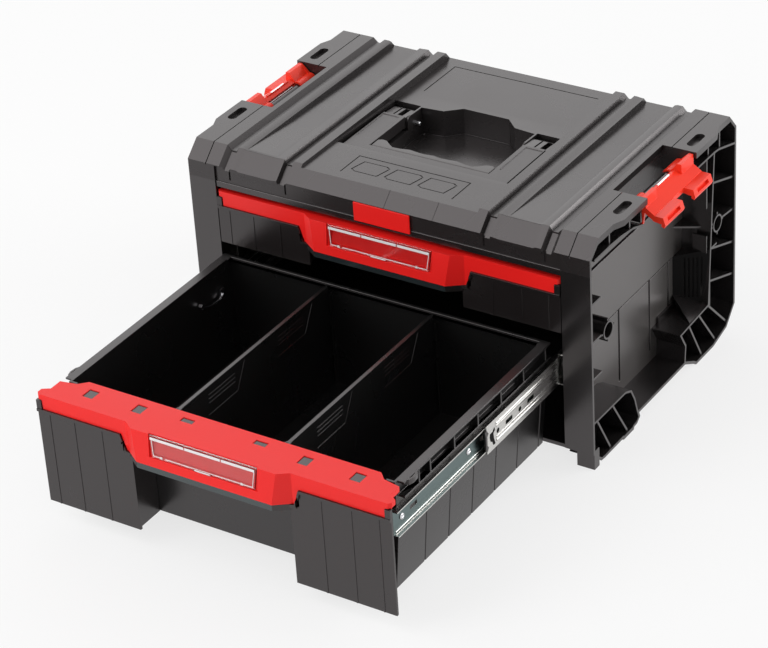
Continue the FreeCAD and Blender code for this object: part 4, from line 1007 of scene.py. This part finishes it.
@dataclass
class Studio:
    """White studio: the camera of the photograph, soft lamps and a white floor."""

    centre: Spot = (0.0, -0.15, 0.1)
    camera_at: Spot = (1.3293, -2.1198, 1.5409)
    azimuth: float = -34.11
    elevation: float = 31.20
    roll: float = -3.71
    lens: float = 134.23
    plain_white: float = 0.75
    world_light: float = 0.5
    floor_reach: float = 6.0
    lamps: tuple[Lamp, ...] = (
        Lamp("rear", (-1.25, 1.75, 1.45), (2.8, 1.5), 11.0),
        Lamp("front", (-1.25, -1.25, 2.1), (2.2, 1.8), 22.0),
        Lamp("low_front", (-1.5, -2.4, 0.9), (1.6, 1.2), 22.0),
        Lamp("side", (2.2, 1.4, 0.8), (1.8, 1.2), 40.0),
    )

    def build(self) -> None:
        """Builds the camera, the lamps, the floor and the world."""
        self.set_camera()
        self.set_world()
        self.set_floor()
        for lamp in self.lamps:
            lamp.hang(self.centre)
        bpy.context.scene.view_settings.view_transform = "Standard"

    def set_camera(self) -> None:
        """Places the camera where the photograph was taken from."""
        turn, rise, tilt = (math.radians(v) for v in (self.azimuth, self.elevation, self.roll))
        ahead = Vector((math.sin(turn) * math.cos(rise), math.cos(turn) * math.cos(rise), -math.sin(rise)))
        right = ahead.cross(Vector((0, 0, 1))).normalized()
        up = right.cross(ahead)
        across = right * math.cos(tilt) + up * math.sin(tilt)
        upward = up * math.cos(tilt) - right * math.sin(tilt)
        data = bpy.data.cameras.new("camera")
        data.lens = self.lens
        data.sensor_width = 36.0
        data.sensor_fit = "HORIZONTAL"
        data.clip_end = 20.0
        camera = bpy.data.objects.new("camera", data)
        bpy.context.scene.collection.objects.link(camera)
        turned = Matrix((across, upward, -ahead)).transposed().to_4x4()
        turned.translation = Vector(self.camera_at)
        camera.matrix_world = turned
        bpy.context.scene.camera = camera

    def set_world(self) -> None:
        """Lights the scene evenly, and shows white to the camera, in reflections and through glass."""
        world = bpy.data.worlds.new("studio")
        bpy.context.scene.world = world
        world.use_nodes = True
        graph = Graph(world.node_tree)
        strength = graph.spread(graph.seen_rays(), self.world_light, 1.0)
        back = world.node_tree.nodes["Background"]
        back.inputs["Color"].default_value = (1.0, 1.0, 1.0, 1.0)
        world.node_tree.links.new(strength, back.inputs["Strength"])

    def set_floor(self) -> None:
        """Lays a white floor that keeps the box's soft shadow."""
        mesh = bpy.data.meshes.new("floor")
        reach = self.floor_reach
        corners = [(-reach, -reach, 0), (reach, -reach, 0), (reach, reach, 0), (-reach, reach, 0)]
        mesh.from_pydata(corners, [], [(0, 1, 2, 3)])
        floor = bpy.data.objects.new("floor", mesh)
        bpy.context.scene.collection.objects.link(floor)
        mesh.materials.append(self.paper())

    def paper(self) -> bpy.types.Material:
        """Builds the floor's white, which keeps a faint shadow.

        Returns:
            The material: mostly plain white to the camera, in gloss and through glass.
        """
        material, graph, shader = start_material("floor_paper")
        shader.inputs["Base Color"].default_value = (0.9, 0.9, 0.9, 1.0)
        shader.inputs["Roughness"].default_value = 0.9
        white = graph.add("ShaderNodeEmission", {"Color": (1.0, 1.0, 1.0, 1.0), "Strength": 1.0})
        share = graph.maths("MULTIPLY", graph.seen_rays(), self.plain_white)
        mixed = graph.add("ShaderNodeMixShader", {0: share, 1: shader.outputs[0], 2: white.outputs[0]})
        end = graph.tree.nodes["Material Output"]
        graph.tree.links.new(mixed.outputs[0], end.inputs["Surface"])
        return material


NODE_FINISHES: dict[str, tuple[Finish, float]] = {
    "cabinet_shell": (Finish.FRAME, 0.5),
    "top_cover": (Finish.CASE, 0.7),
    "badge_plate": (Finish.RED, 0.5),
    "carry_handle": (Finish.HANDLE, 0.8),
    "handle_grip_insert": (Finish.GRIP, 1.0),
    "handle_hinge_pins": (Finish.PIN, 0.3),
    "divider_clip": (Finish.PIN, 0.3),
}
SIDE_FINISHES: dict[str, tuple[Finish, float]] = {
    "side_frame": (Finish.FRAME, 0.55),
    "latch": (Finish.LATCH, 0.5),
    "latch_bar": (Finish.FRAME, 0.0),
    "divider": (Finish.INSIDE, 0.3),
}
LEVEL_FINISHES: dict[str, tuple[Finish, float]] = {
    "drawer_box": (Finish.INSIDE, 0.4),
    "drawer_front": (Finish.FRONT, 0.4),
    "drawer_cap": (Finish.RED, 0.7),
    "label_window": (Finish.CLEAR, 0.2),
}
RAIL_FINISH = (Finish.STEEL, 0.2)


def finish_of(name: str) -> tuple[Finish, float]:
    """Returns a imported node's finish and the width of its edge rounds in millimetres."""
    word, _, rest = name.partition("_")
    if word in ("left", "right") and rest in SIDE_FINISHES:
        return SIDE_FINISHES[rest]
    if word in LEVELS and rest in LEVEL_FINISHES:
        return LEVEL_FINISHES[rest]
    return NODE_FINISHES.get(name, RAIL_FINISH)


def main() -> None:
    """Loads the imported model, dresses it and adds the small parts and the studio."""
    logging.basicConfig(level=logging.INFO, format="%(message)s")
    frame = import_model()
    nodes = frame["nodes"]
    for name in nodes:
        dress(nodes, name, *finish_of(name))
    for side in Side:
        LatchTrim(side).build()
        BossScrews(side).build()
        for level in LEVELS:
            RunnerTrim(level, side).build()
    for level in LEVELS:
        WindowTrim(level).build()
        DrawerCorners(level).build()
    Shading().build(nodes)
    DividerHooks().build()
    WellTrim().build()
    Studio().build()


if __name__ == "__main__":
    main()
